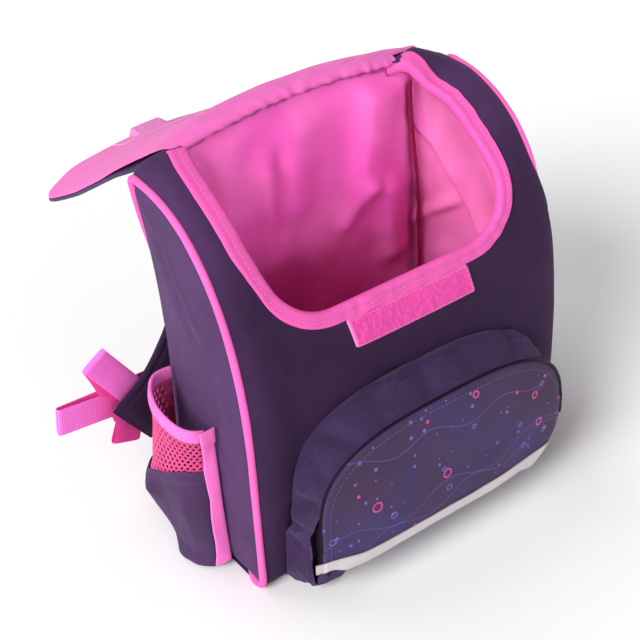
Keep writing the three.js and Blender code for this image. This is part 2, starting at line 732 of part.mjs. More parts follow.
// Lower cloth with the pocket's floor: the floor's rows run in to the side panel
function sidePocketLower() {
  const heights = [SIDE_POCKET.floor, 22, 48, SIDE_POCKET.meshFrom - GAP];
  const floorShares = [0, 0.6];
  const rounds = clothRounds.map((round) => Math.max(round, SIDE_POCKET.trimShare + 0.006));
  return sheetSolid(heights.length + floorShares.length, rounds.length, (r, c, face) => {
    const round = rounds[c];
    const depth = face ? 0 : SIDE_POCKET.wall;
    if (r >= floorShares.length) {
      const lift = r === floorShares.length && !face ? SIDE_POCKET.wall : 0;
      return sidePocketPoint(round, heights[r - floorShares.length] + lift, depth);
    }
    const outer = sidePocketPoint(round, SIDE_POCKET.floor, depth);
    const seat = -pocketSeat(outer[1], SIDE_POCKET.floor);
    const lift = face ? 0 : SIDE_POCKET.wall;
    return [lerp(seat, outer[0], floorShares[r]), outer[1], outer[2] + lift];
  });
}

function sidePocketMesh() {
  const rounds = clothRounds.map((round) => Math.max(round, SIDE_POCKET.trimShare + 0.006));
  const top = (round) => sidePocketTop(round) - SIDE_POCKET.bindingHeight - GAP;
  const bottom = () => SIDE_POCKET.meshFrom;
  const middle = (round) => lerp(bottom(), top(round), 0.5);
  return sidePocketSheet(rounds, [bottom, middle, top], 0, SIDE_POCKET.wall);
}

function sidePocketBinding() {
  const rounds = clothRounds.map((round) => Math.max(round, SIDE_POCKET.trimShare + 0.006));
  const low = (round) => sidePocketTop(round) - SIDE_POCKET.bindingHeight;
  return sidePocketSheet(rounds, [low, sidePocketTop], -0.4, SIDE_POCKET.wall + 0.4);
}

function sidePocketTrim() {
  const heights = [SIDE_POCKET.pipingTop, 30, 55, 82].map((z) => () => z);
  return sidePocketSheet(trimRounds, [...heights, (round) => sidePocketTop(round)], -0.4, SIDE_POCKET.wall);
}

// Straps

// A flat band along a smooth route, with its faces turned towards the given normal
function bandSolid(route, count, width, thick, normal, roundEdge) {
  const curve = new THREE.CatmullRomCurve3(route, false, 'centripetal');
  const half = width / 2;
  const side = thick / 2;
  const section = roundEdge
    ? [[-half, -side * 0.5], [-half, side * 0.5], [-half + side, side], [half - side, side],
      [half, side * 0.5], [half, -side * 0.5], [half - side, -side], [-half + side, -side]]
    : [[-half, -side], [-half, side], [half, side], [half, -side]];
  const rings = steps(count, 0, 1).map((t) => {
    const at = curve.getPointAt(t);
    const along = curve.getTangentAt(t);
    const across = new THREE.Vector3().crossVectors(along, normal).normalize();
    const out = new THREE.Vector3().crossVectors(across, along).normalize();
    return section.map(([a, b]) => at.clone().addScaledVector(across, a).addScaledVector(out, b).toArray());
  });
  return loftSolid(rings, section);
}

const BACKWARDS = new THREE.Vector3(0, 1, 0);
const toVectors = (rows) => rows.map(({ x, y, z }) => new THREE.Vector3(x, y, z));

function shoulderStrap() {
  return bandSolid(toVectors(STRAP_ROUTE), 16, STRAP.width, STRAP.thick, BACKWARDS, true);
}

// One folded loop of webbing: out from the hub on one level and back on the next
function webbingLoop({ angleDeg, length }, level) {
  const way = new THREE.Vector3(Math.cos(radians(angleDeg)), 0, Math.sin(radians(angleDeg)));
  const hub = new THREE.Vector3(WEBBING_HUB.x, WEBBING_HUB.y + level * WEBBING.pitch, WEBBING_HUB.z);
  const bend = WEBBING.pitch / 2;
  const line = [];
  for (const distance of [-8, length - bend]) line.push({ distance, up: 0 });
  for (const degrees of [45, 90, 135]) {
    line.push({
      distance: length - bend + bend * Math.sin(radians(degrees)),
      up: bend * (1 - Math.cos(radians(degrees))),
    });
  }
  for (const distance of [length - bend, -8]) line.push({ distance, up: WEBBING.pitch });
  const across = new THREE.Vector3().crossVectors(way, new THREE.Vector3(0, 1, 0));
  const half = WEBBING.thick / 2;
  return sheetSolid(line.length, 2, (r, c, face) => {
    const before = line[Math.max(0, r - 1)];
    const after = line[Math.min(line.length - 1, r + 1)];
    const slope = new THREE.Vector2(after.distance - before.distance, after.up - before.up).normalize();
    const shift = face ? half : -half;
    return hub.clone()
      .addScaledVector(way, line[r].distance - slope.y * shift)
      .addScaledVector(new THREE.Vector3(0, 1, 0), line[r].up + slope.x * shift)
      .addScaledVector(across, (c - 0.5) * WEBBING.width).toArray();
  });
}

function strapWebbing() {
  const loops = WEBBING_LOOPS.map((loop, level) => toManifold(webbingLoop(loop, level)));
  const tail = bandSolid(toVectors(WEBBING_TAIL), 12, WEBBING.width, WEBBING.thick, BACKWARDS, false);
  const joined = loops.reduce((sum, loop) => sum.add(loop), toManifold(tail));
  return toGeometry(joined);
}

// Assembly

const backpack = new THREE.Group();

function addPiece(name, geometry, colour, roughness = 0.85) {
  const material = new THREE.MeshStandardMaterial({ color: colour, roughness, metalness: 0 });
  const mesh = new THREE.Mesh(geometry, material);
  mesh.name = name;
  backpack.add(mesh);
  return mesh;
}

function addPair(name, geometry, colour) {
  addPiece(`${name}_left`, geometry, colour);
  addPiece(`${name}_right`, mirrored(geometry), colour);
}

const panels = bodyPanels();
addPiece('front_panel', panels.front, COLOURS.cloth);
addPiece('side_panel_left', panels.sideLeft, COLOURS.cloth);
addPiece('side_panel_right', panels.sideRight, COLOURS.cloth);
addPiece('back_panel', panels.back, COLOURS.cloth);
addPiece('base_panel', panels.base, COLOURS.cloth);
addPiece('lining', panels.lining, COLOURS.lining);
addPair('piping', pipingSolid(PIPING_RADIUS), COLOURS.pink);
addPiece('opening_binding', openingBinding(), COLOURS.pink);
addPiece('closure_strip_front', closureStripFront(), COLOURS.closure);

addPiece('lid_lining', lidSheet(0, 0, LID.liningThick), COLOURS.lining);
addPiece('lid_outer', lidSheet(LID.outerStart, -GAP - LID.outerThick, -GAP), COLOURS.print);
addPiece('closure_strip_lid', closureStripLid(), COLOURS.closure);

addPiece('pocket_gusset', pocketGusset(), COLOURS.cloth);
addPiece('pocket_panel', pocketPanel(), COLOURS.print);
addPiece('pocket_zip', pocketZip(), COLOURS.zip, 0.6);
addPiece('reflective_strip', reflectiveStrip(), COLOURS.strip, 0.4);
const pull = addPiece('zip_pull', zipPull(), COLOURS.zip, 0.5);
pull.position.set(POCKET.faceHalf + GAP, POCKET.frontY + ZIP_PULL.width / 2, ZIP_PULL.top);

addPair('side_pocket_lower', sidePocketLower(), COLOURS.cloth);
addPair('side_pocket_mesh', sidePocketMesh(), COLOURS.mesh);
addPair('side_pocket_binding', sidePocketBinding(), COLOURS.pink);
addPair('side_pocket_trim', sidePocketTrim(), COLOURS.pink);

addPair('shoulder_strap', shoulderStrap(), COLOURS.cloth);
addPair('strap_webbing', strapWebbing(), COLOURS.pink);

export default backpack;
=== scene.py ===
import math

import bpy
import numpy as np
from mathutils import Matrix, Vector


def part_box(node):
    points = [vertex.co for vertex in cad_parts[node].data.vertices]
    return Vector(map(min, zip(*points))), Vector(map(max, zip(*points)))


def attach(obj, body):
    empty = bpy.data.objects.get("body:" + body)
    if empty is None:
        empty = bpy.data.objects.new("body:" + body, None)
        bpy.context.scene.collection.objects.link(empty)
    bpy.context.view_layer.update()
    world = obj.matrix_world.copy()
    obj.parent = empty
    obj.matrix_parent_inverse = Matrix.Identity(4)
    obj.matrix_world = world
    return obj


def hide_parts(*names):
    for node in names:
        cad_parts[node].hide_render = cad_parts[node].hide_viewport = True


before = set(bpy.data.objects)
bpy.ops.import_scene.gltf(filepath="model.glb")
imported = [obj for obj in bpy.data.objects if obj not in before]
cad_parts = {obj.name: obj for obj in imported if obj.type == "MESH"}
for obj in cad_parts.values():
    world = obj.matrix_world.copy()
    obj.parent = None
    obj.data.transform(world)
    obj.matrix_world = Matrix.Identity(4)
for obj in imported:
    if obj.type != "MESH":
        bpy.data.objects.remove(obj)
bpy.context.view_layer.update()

# Toddler backpack. Lengths are millimetres until a mesh is made, +Z up, front towards -Y.

MM = 0.001

# Main body
HALF_WIDTH = 120.0
BODY_DEPTH = 104.0
BODY_HEIGHT = 253.0
FRONT_Y = -BODY_DEPTH / 2
BACK_Y = BODY_DEPTH / 2
FRONT_STRAIGHT = 93.0
ARCH_RISE = BODY_HEIGHT - FRONT_STRAIGHT
ARCH_POWER = 2.43
FOOT_RADIUS = 8.0
BACK_RADIUS = 5.0
CLOTH = 1.4

# Closure tapes
CLOSURE_HALF = 46.0
CLOSURE_HEIGHT = 20.0

# Camera of the photograph
CAMERA_AZIMUTH_DEG = -34.88
CAMERA_ELEVATION_DEG = 35.12
CAMERA_ROLL_DEG = -3.33
CAMERA_PLACE = (-443.3, -593.84, 647.26)
CAMERA_LENS = 79.92
CAMERA_SENSOR = 36.0

# Light: strength of the walls and ceiling, and lamps by name, direction, strength and spread in degrees
WALL_LIGHT = 0.6
CEILING_LIGHT = 0.15
LAMPS = [("left", (-0.81, -0.2, 0.55), 3.1, 34), ("front", (-0.15, -0.97, 0.19), 0.8, 25),
         ("behind", (-0.2, 0.55, 0.81), 0.8, 40)]
FLOOR_REACH_M = 30.0
FLOOR_TONE = 0.97


# Numbers

def smooth(low, high, value):
    """0 at low and 1 at high, eased at both ends. Low may be the greater one."""
    share = np.clip((value - low) / (high - low), 0, 1)
    return share * share * (3 - 2 * share)


def hump(value, centre, width):
    return np.exp(-(((value - centre) / width) ** 2))


NOISE_SIZE = 128
NOISE_TABLE = np.random.default_rng(7).random((NOISE_SIZE, NOISE_SIZE)) * 2 - 1


def noise(u, v, size, seed):
    """Smooth noise from -1 to 1 with features of that size. Each seed starts elsewhere in the table."""
    a = np.asarray(u, float) / size + 17.3 * seed
    b = np.asarray(v, float) / size + 31.7 * seed
    i, j = np.floor(a).astype(int), np.floor(b).astype(int)
    share_a, share_b = smooth(0, 1, a - i), smooth(0, 1, b - j)

    def row(dj):
        first, second = (NOISE_TABLE[(i + di) % NOISE_SIZE, (j + dj) % NOISE_SIZE] for di in (0, 1))
        return first * (1 - share_a) + second * share_a

    return row(0) * (1 - share_b) + row(1) * share_b


def slack(u, v, *waves):
    """Loose cloth: the sum of noises, each given as its height, size and seed."""
    return sum(height * noise(u, v, size, seed) for height, size, seed in waves)


def specks(u, v, size, seed):
    """Noise cut off at 0, for small worn patches."""
    return np.clip(noise(u, v, size, seed), 0, 1)


# A crease is full over this share of its length to each side of its middle, and then fades
CREASE_FULL = 0.32
CREASE_FADE = 0.14


def crease(u, v, start, end, width, depth, lean=1.0):
    """A soft ridge (or dent, with a negative depth) along a line, fading towards its ends.

    A lean other than 1 makes it narrower or wider on one side, as a fold that is laid over."""
    du, dv = end[0] - start[0], end[1] - start[1]
    length = math.hypot(du, dv)
    along = ((u - start[0]) * du + (v - start[1]) * dv) / length ** 2
    across = ((u - start[0]) * dv - (v - start[1]) * du) / length
    fade = np.exp(-(np.maximum(0, np.abs(along - 0.5) - CREASE_FULL) / CREASE_FADE) ** 2)
    spread = np.where(across > 0, width, width * lean)
    return depth * np.exp(-((across / spread) ** 2)) * fade


def creases(u, v, rows):
    return sum(crease(u, v, *row) for row in rows)


def unit(vectors):
    return vectors / np.maximum(np.linalg.norm(vectors, axis=-1, keepdims=True), 1e-9)


def stack(*parts):
    """Points (or pairs) from their coordinates."""
    return np.stack(np.broadcast_arrays(*parts), -1)


def mesh_grid(u, v):
    return np.meshgrid(u, v, indexing="ij")


def circle(count):
    angle = np.linspace(0, 2 * math.pi, count, endpoint=False)
    return stack(np.cos(angle), np.sin(angle))


def turned_left(ways):
    return stack(-ways[:, 1], ways[:, 0])


def reach_of(path):
    """Distance along a path at each of its points."""
    return np.concatenate([[0], np.cumsum(np.linalg.norm(np.diff(path, axis=0), axis=1))])


def place_at(at, reach, path):
    """Points of a path at distances along it."""
    return stack(*(np.interp(at, reach, column) for column in path.T))


def resample(path, count=None, step=None, closed=False):
    """Points at even distances along a path."""
    path = np.asarray(path, float)
    if closed:
        path = np.vstack([path, path[:1]])
    reach = reach_of(path)
    if count is None:
        count = max(2, int(round(reach[-1] / step)) + 1)
    return place_at(np.linspace(0, reach[-1], count, endpoint=not closed), reach, path)


def spline(points, count):
    """A smooth line through points, at even distances."""
    points = np.asarray(points, float)
    ends = np.vstack([2 * points[0] - points[1], points, 2 * points[-1] - points[-2]])
    fine = []
    for k in range(len(points) - 1):
        p0, p1, p2, p3 = ends[k:k + 4]
        for t in np.linspace(0, 1, 24, endpoint=False):
            fine.append(0.5 * (2 * p1 + (p2 - p0) * t + (2 * p0 - 5 * p1 + 4 * p2 - p3) * t ** 2
                               + (3 * p1 - p0 - 3 * p2 + p3) * t ** 3))
    fine.append(points[-1])
    return resample(fine, count)


def follow(table, at):
    """Value at a place, on a smooth line through a table of (place, value) rows."""
    line = spline(table, 240)
    return np.interp(at, line[:, 0], line[:, 1])


def lookup(table, at):
    """Value at a place, on straight lines through a table of (place, value) rows."""
    return np.interp(at, *zip(*table))


def tangents(path, closed=False):
    if closed:
        return unit(np.roll(path, -1, axis=0) - np.roll(path, 1, axis=0))
    return unit(np.gradient(path, axis=0))


# Meshes

SHARP_DEG = 55


def add_object(name, data):
    obj = bpy.data.objects.new(name, data)
    bpy.context.scene.collection.objects.link(obj)
    return obj


def grid_ids(rows, columns, wraps=False, start=0):
    ids = np.arange(rows * columns).reshape(rows, columns) + start
    return np.hstack([ids, ids[:, :1]]) if wraps else ids


def grid_quads(ids):
    return np.stack([ids[:-1, :-1], ids[:-1, 1:], ids[1:, 1:], ids[1:, :-1]], -1).reshape(-1, 4)


def quad_area(points, quads):
    """Area of quads, in square metres."""
    a, b, c, d = (points[quads[:, k]] * MM for k in range(4))
    return float(np.linalg.norm(np.cross(c - a, d - b), axis=1).sum() / 2)


def grid_area(points):
    return quad_area(points.reshape(-1, 3), grid_quads(grid_ids(*points.shape[:2])))


def vertex_normals(points, quads):
    a, b, c, d = (points[quads[:, k]] for k in range(4))
    face = np.cross(c - a, d - b)
    normals = np.zeros_like(points)
    for k in range(4):
        np.add.at(normals, quads[:, k], face)
    return unit(normals)


def make_object(name, points, faces, uv, wear=None):
    mesh = bpy.data.meshes.new(name)
    mesh.from_pydata((np.asarray(points) * MM).tolist(), [], [list(face) for face in faces])
    mesh.polygons.foreach_set("use_smooth", [True] * len(mesh.polygons))
    layer = mesh.uv_layers.new(name="UVMap")
    order = np.zeros(len(mesh.loops), int)
    mesh.loops.foreach_get("vertex_index", order)
    layer.data.foreach_set("uv", np.asarray(uv, np.float32)[order].ravel())
    # This mark holds real wear and also painted light and shade.
    attribute = mesh.attributes.new("wear", "FLOAT", "POINT")
    values = np.zeros(len(points)) if wear is None else wear
    attribute.data.foreach_set("value", np.asarray(values, np.float32))
    mesh.validate()
    mesh.set_sharp_from_angle(angle=math.radians(SHARP_DEG))
    return add_object(name, mesh)


def cloth_data(points, quads, thick, outward):
    """A sheet with two faces and a rounded rim, its outer face towards outward: points, faces, rim points."""
    normals = vertex_normals(points, quads)
    if np.sum(normals * np.asarray(outward, float)) < 0:
        quads = quads[:, ::-1]
        normals = -normals
    count = len(points)
    starts = quads.ravel()
    ends = np.roll(quads, -1, axis=1).ravel()
    open_edge = ~np.isin(starts * count + ends, ends * count + starts)
    a, b = starts[open_edge], ends[open_edge]
    out = np.zeros_like(points)
    side = np.cross(points[b] - points[a], normals[a])
    np.add.at(out, a, side)
    np.add.at(out, b, side)
    rim = np.unique(np.concatenate([a, b]))
    rim_id = np.full(count, -1)
    rim_id[rim] = np.arange(len(rim)) + 2 * count
    inner = points - normals * thick
    middle = points[rim] - normals[rim] * thick / 2 + unit(out[rim]) * thick * 0.5
    faces = np.vstack([
        quads, quads[:, ::-1] + count,
        np.stack([b, a, rim_id[a], rim_id[b]], -1),
        np.stack([rim_id[b], rim_id[a], a + count, b + count], -1),
    ])
    return np.vstack([points, inner, middle]), faces, rim


def all_round(values, rim):
    """Values of a sheet's points for its two faces and its rim."""
    return np.concatenate([values, values, values[rim]])


def cloth(name, points, quads, uv, thick, outward, wear=None):
    points = points.reshape(-1, 3)
    solid, faces, rim = cloth_data(points, quads, thick, outward)
    wear = np.zeros(len(points)) if wear is None else wear.ravel()
    return make_object(name, solid, faces, all_round(uv.reshape(-1, 2), rim), all_round(wear, rim))


def grid_cloth(name, points, uv, thick=CLOTH, wraps=False, **options):
    return cloth(name, points, grid_quads(grid_ids(*points.shape[:2], wraps)), uv, thick, **options)


def disc_cloth(name, points, uv, thick, outward, wear):
    """Cloth from rings of points about a centre, with a fan of triangles closing each face there."""
    ids = grid_ids(*points.shape[:2], wraps=True)
    quads = grid_quads(ids)
    ring = ids[0, :-1]
    points = points.reshape(-1, 3)
    solid, faces, rim = cloth_data(points, quads, thick, outward)
    count = len(points)
    around_hole = set(ring.tolist())
    on_rim = lambda face: max(face) >= 2 * count
    touches = lambda face: bool({v % count for v in face if v < 2 * count} & around_hole)
    kept = [face for face in faces.tolist() if not (on_rim(face) and touches(face))]
    hubs = [len(solid), len(solid) + 1]
    solid = np.vstack([solid, solid[ring].mean(0), solid[ring + count].mean(0)])
    corner = np.cross(solid[ring[1]] - solid[ring[0]], solid[hubs[0]] - solid[ring[0]])
    facing = np.dot(corner, outward) > 0
    for a, b in zip(ring.tolist(), np.roll(ring, -1).tolist()):
        a, b = (a, b) if facing else (b, a)
        kept += [[a, b, hubs[0]], [b + count, a + count, hubs[1]]]
    every = lambda values: np.concatenate([all_round(values, rim), values[ring[:1]], values[ring[:1]]])
    panel = make_object(name, solid, kept, every(uv.reshape(-1, 2)), every(wear.ravel()))
    return panel, quad_area(points, quads)


def merged(parts):
    """Several meshes, each points and faces, as one."""
    faces, start = [], 0
    for points, part_faces in parts:
        faces += [[v + start for v in face] for face in part_faces]
        start += len(points)
    return np.vstack([points for points, _ in parts]), faces


def turned_out(points, faces):
    """The faces of a closed mesh, pointing out."""
    volume = 0.0
    for face in faces:
        a = points[face[0]]
        for k in range(1, len(face) - 1):
            volume += np.dot(a, np.cross(points[face[k]], points[face[k + 1]]))
    return faces if volume > 0 else [list(face)[::-1] for face in faces]


def tube_faces(rows, columns, closed=False):
    """Faces of a tube of rings, with flat ends unless it is closed."""
    ids = grid_ids(rows, columns, wraps=True)
    if closed:
        return grid_quads(np.vstack([ids, ids[:1]])).tolist()
    return grid_quads(ids).tolist() + [ids[0, :-1][::-1].tolist(), ids[-1, :-1].tolist()]


def tube(name, rings, along, around, closed=False, wear=None):
    """A tube of rings of points, with its distances along and around it."""
    points = rings.reshape(-1, 3)
    faces = turned_out(points, tube_faces(*rings.shape[:2], closed))
    return make_object(name, points, faces, stack(*mesh_grid(along, around)).reshape(-1, 2), wear)


def swept(path, across, up, section):
    """Rings of a section of (across, up) distances carried along a path. The section may change along it."""
    section = np.broadcast_to(section, (len(path), *np.shape(section)[-2:]))
    return path[:, None] + across[:, None] * section[..., :1] + up[:, None] * section[..., 1:]


def sweep_data(*sweep):
    rings = swept(*sweep)
    return rings.reshape(-1, 3), tube_faces(*rings.shape[:2])


THREAD_RADIUS = 0.24
# Thickness of a stitch along it, as a share of the thread's
STITCH_SWELL = np.array([0.35, 0.9, 1.0, 0.9, 0.35])


def stitch_data(path, normals, length, gap):
    """Sewing stitches on a surface: short threads that dip into the cloth at both ends."""
    reach = reach_of(path)
    spots = np.linspace(0, 1, len(STITCH_SWELL))
    lift = np.sin(spots * math.pi) * THREAD_RADIUS * 1.5 - THREAD_RADIUS * 0.7
    section = (STITCH_SWELL * THREAD_RADIUS)[:, None, None] * circle(6)[None]
    dashes = []
    for k in range(int(reach[-1] // (length + gap))):
        at = k * (length + gap) + spots * length
        line = place_at(at, reach, path)
        normal = unit(place_at(at, reach, normals))
        across = unit(np.cross(np.gradient(line, axis=0), normal))
        dashes.append(sweep_data(line + normal * lift[:, None], across, normal, section))
    return merged(dashes)


def stitches(name, lines, length, gap):
    """One piece of thread for several stitched lines, each a path with its surface normals."""
    points, faces = merged([stitch_data(path, normals, length, gap) for path, normals in lines])
    return make_object(name, points, turned_out(points, faces), points[:, :2])


def mirrored(obj):
    """A copy on the other side of the bag, with its thickness if it has one."""
    name = obj.name.replace("left", "right")
    mesh = obj.data.copy()
    mesh.name = name
    mesh.transform(Matrix.Scale(-1, 4, (1, 0, 0)))
    mesh.flip_normals()
    copy = add_object(name, mesh)
    for modifier in obj.modifiers:
        made = copy.modifiers.new(modifier.name, modifier.type)
        made.thickness = modifier.thickness
        made.offset = modifier.offset
    return copy


def both_sides(left):
    """A left piece and its mirror image, by side."""
    return {"left": left, "right": mirrored(left)}


def finish_piece(obj, nodes, slot, look):
    obj.data.materials.clear()
    obj.data.materials.append(MATERIALS[look])
    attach(obj, "root")
    if nodes:
        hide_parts(*nodes)


def finish_sheet(obj, nodes, slot, look, flat, held, area=None):
    """Finish a piece of cloth, given its flat size in millimetres. Its area is capped at that size here but
    not used further.
    """
    finish_piece(obj, nodes, slot, look)
    width, length = (value * MM for value in flat)
    if area is not None:
        area = min(area, width * length)


# Materials

SHEEN_ROUGHNESS = 0.45
WHITE = (1, 1, 1)


def node(tree, kind, inputs=None, **settings):
    """Outputs of a new shader node. Each input is a socket to link or a constant."""
    made = tree.nodes.new(kind)
    for key, value in settings.items():
        setattr(made, key, value)
    for key, value in (inputs or {}).items():
        if isinstance(value, bpy.types.NodeSocket):
            tree.links.new(value, made.inputs[key])
        else:
            made.inputs[key].default_value = value
    return made.outputs


def shader(name, roughness, sheen=0.0, tint=WHITE, specular=0.3):
    """A material, its node tree and the sockets of its surface."""
    material = bpy.data.materials.new(name)
    material.use_nodes = True
    surface = material.node_tree.nodes["Principled BSDF"].inputs
    settings = {"Roughness": roughness, "Specular IOR Level": specular, "Sheen Weight": sheen,
                "Sheen Roughness": SHEEN_ROUGHNESS, "Sheen Tint": (*tint, 1)}
    for key, value in settings.items():
        surface[key].default_value = value
    return material, material.node_tree, surface


class Paint:
    """A material and what its pattern is made from: u, v and flat on the cloth in mm, place, and the mark of
    wear and painted shading.
    """

    def __init__(self, *look):
        self.material, self.tree, self.surface = shader(*look)
        place = node(self.tree, "ShaderNodeTexCoord")
        self.flat, self.place = place["UV"], place["Object"]
        self.u, self.v, _ = node(self.tree, "ShaderNodeSeparateXYZ", {0: self.flat})
        self.wear = node(self.tree, "ShaderNodeAttribute", attribute_name="wear")["Fac"]

    def maths(self, operation, *values):
        return node(self.tree, "ShaderNodeMath", dict(enumerate(values)), operation=operation)[0]

    def times(self, first, second):
        return self.maths("MULTIPLY", first, second)

    def plus(self, first, second):
        return self.maths("ADD", first, second)

    def minus(self, first, second):
        return self.maths("SUBTRACT", first, second)

    def ripple(self, value, pitch, phase=0.0):
        angle = self.times(value, 2 * math.pi / pitch)
        return self.maths("SINE", self.plus(angle, phase) if phase else angle)

    def weave(self, pitch):
        """Height of a plain weave: warp and weft pass over each other in turn."""
        return self.times(self.ripple(self.u, pitch), self.ripple(self.v, pitch))

    def mix(self, factor, first, second):
        """The first colour, turning into the second as the factor rises."""
        first, second = ((*value, 1) if isinstance(value, tuple) else value for value in (first, second))
        return node(self.tree, "ShaderNodeMix", {0: factor, 6: first, 7: second}, data_type="RGBA")[2]

    def ramp(self, value, low, high):
        """0 below low, 1 above high, smooth between."""
        inputs = {"From Min": low, "From Max": high, "Value": value}
        return node(self.tree, "ShaderNodeMapRange", inputs, interpolation_type="SMOOTHSTEP")["Result"]

    def noise(self, where, scale, detail=3.0, roughness=0.55):
        inputs = {"Vector": where, "Scale": scale, "Detail": detail, "Roughness": roughness}
        return node(self.tree, "ShaderNodeTexNoise", inputs)["Fac"]

    def finish(self, colour, height, strength, distance):
        """The material in this colour, with a fine relief of this height."""
        inputs = {"Strength": strength, "Distance": distance, "Height": height}
        relief = node(self.tree, "ShaderNodeBump", inputs)
        self.tree.links.new(relief["Normal"], self.surface["Normal"])
        self.tree.links.new(colour, self.surface["Base Color"])
        return self.material


def srgb(red, green, blue):
    """A colour given as it looks on screen, 0 to 255."""
    share = [value / 255 for value in (red, green, blue)]
    return tuple(s / 12.92 if s <= 0.04045 else ((s + 0.055) / 1.055) ** 2.4 for s in share)


def shade(colour, factor):
    return tuple(min(1.0, value * factor) for value in colour)


def woven(name, colour, pitch, depth, roughness, sheen, tint, mottle, wear_and_shading_tone, specular=0.3, painted_sheen=None):
    """Woven cloth: weave relief, thread flecks and cloudy colour, with broad patches of painted sheen if
    given.

    Where it is marked for wear and for painted light and shade, its colour is multiplied by a tone, which
    pales it above 1 and darkens it below."""
    paint = Paint(name, roughness, sheen, tint, specular)
    threads = paint.weave(pitch)
    flecks = paint.noise(paint.flat, 1.6, 2.0)
    clouds = paint.ramp(paint.noise(paint.place, 28.0), 0.3, 0.7)
    mixed = paint.mix(clouds, shade(colour, 1 - mottle), shade(colour, 1 + mottle))
    if painted_sheen:
        # Painted sheen: broad patches of another colour.
        mixed = paint.mix(paint.ramp(paint.noise(paint.place, 17.0, 1.0), 0.42, 0.62), mixed, painted_sheen)
    dark = paint.mix(paint.times(paint.ramp(flecks, 0.45, 0.75), 0.35), mixed, shade(colour, 0.7))
    lit = paint.mix(paint.times(paint.ramp(threads, 0.1, 0.9), 0.25), dark, shade(colour, 1.35))
    scale = paint.plus(paint.times(paint.wear, wear_and_shading_tone - 1), 1.0)
    scaled = node(paint.tree, "ShaderNodeVectorMath", {0: lit, "Scale": scale}, operation="SCALE")[0]
    return paint.finish(scaled, paint.plus(threads, paint.times(flecks, 0.8)), depth, 0.00025)


def ribbed(name, colour, pitch, depth, wear_and_shading_tone=None):
    """Woven tape with ribs across it."""
    paint = Paint(name, 0.6, 0.1, shade(colour, 1.2), 0.15)
    ribs = paint.ripple(paint.u, pitch)
    cross = paint.ripple(paint.v, pitch * 0.8)
    flecks = paint.noise(paint.flat, 1.2, 2.0)
    clouds = paint.ramp(paint.noise(paint.place, 40.0), 0.3, 0.7)
    base = paint.mix(clouds, shade(colour, 0.94), shade(colour, 1.06))
    lit = paint.mix(paint.ramp(ribs, -0.9, 0.2), shade(colour, 0.84), base)
    mixed = paint.mix(paint.wear, lit, wear_and_shading_tone or shade(colour, 1.2))
    return paint.finish(mixed, paint.plus(paint.plus(ribs, paint.times(cross, 0.5)), flecks), depth, 0.0002)


def napped(name, colour):
    """Pile of closure tape."""
    paint = Paint(name, 0.9, 0.25, shade(colour, 1.3), 0.1)
    fine = paint.noise(paint.flat, 2.2, 4.0, 0.7)
    coarse = paint.noise(paint.flat, 0.35, 3.0, 0.6)
    base = paint.mix(paint.ramp(fine, 0.35, 0.7), shade(colour, 0.68), shade(colour, 1.12))
    tufts = paint.mix(paint.times(paint.ramp(coarse, 0.5, 0.75), 0.5), base, shade(colour, 1.35))
    mixed = paint.mix(paint.wear, tufts, srgb(250, 170, 215))
    return paint.finish(mixed, paint.plus(fine, coarse), 0.9, 0.0006)


# Ripple lines of the print: height, swing, length, phase, slant
RIPPLES = [(44, 5, 62, 0.4, 0.10), (52, 6, 74, 2.1, 0.06), (96, 4, 58, 3.3, -0.05)]
# Dots and rings of the print: spacing, share left out, radius, width of a ring, colour
SPOTS = [(9.5, 0.72, 0.10, None, "blue"), (14.0, 0.76, 0.07, None, "pink"),
         (26.0, 0.72, 0.12, 0.022, "pink"), (21.0, 0.68, 0.1, 0.02, "blue")]


def printed(name, ground, drifting, tones):
    """Printed cloth: a dusky ground with scattered dots, small rings and thin ripple lines."""
    paint = Paint(name, 0.6, 0.05, WHITE, 0.18)
    colour = paint.mix(paint.ramp(paint.noise(paint.flat, 0.016, 2.0), 0.36, 0.64), ground, drifting)
    clouds = paint.ramp(paint.noise(paint.place, 30.0), 0.3, 0.75)
    colour = paint.mix(paint.times(clouds, 0.35), colour, shade(ground, 0.6))
    for low, swing, length, phase, slant in RIPPLES:
        wave = paint.ripple(paint.u, length, phase)
        centre = paint.plus(paint.times(wave, swing), paint.times(paint.u, slant))
        off = paint.maths("ABSOLUTE", paint.minus(paint.minus(paint.v, low), centre))
        line = paint.minus(1.0, paint.ramp(off, 0.15, 0.55))
        colour = paint.mix(paint.times(line, 0.38), colour, shade(tones["blue"], 0.8))
    for size, share, radius, ring, tone in SPOTS:
        inputs = {"Scale": 1 / size, "Randomness": 0.85, "Vector": paint.flat}
        spots = node(paint.tree, "ShaderNodeTexVoronoi", inputs, voronoi_dimensions="2D")
        pick = node(paint.tree, "ShaderNodeSeparateColor", {0: spots["Color"]})
        chosen = paint.maths("GREATER_THAN", pick[0], share)
        off = paint.minus(spots["Distance"], paint.times(paint.plus(pick[1], 0.45), radius))
        if ring:
            off = paint.minus(paint.maths("ABSOLUTE", off), ring)
        spot = paint.times(paint.minus(1.0, paint.ramp(off, -0.012, 0.012)), chosen)
        colour = paint.mix(paint.times(spot, 0.66), colour, tones[tone])
    colour = paint.mix(paint.times(paint.wear, 0.5), colour, shade(ground, 2.2))
    return paint.finish(colour, paint.weave(0.8), 0.4, 0.0002)


def reflective(name, colour):
    """Beaded reflective tape: fine grain, satin, slightly soiled."""
    paint = Paint(name, 0.42, 0.1, WHITE, 0.6)
    grain = paint.noise(paint.flat, 3.0, 2.0)
    soil = paint.ramp(paint.noise(paint.place, 35.0), 0.35, 0.75)
    base = paint.mix(soil, shade(colour, 1.03), shade(colour, 0.86))
    lit = paint.mix(paint.ramp(grain, 0.4, 0.65), shade(colour, 0.9), base)
    return paint.finish(paint.mix(paint.wear, lit, srgb(150, 125, 120)), grain, 0.25, 0.0001)


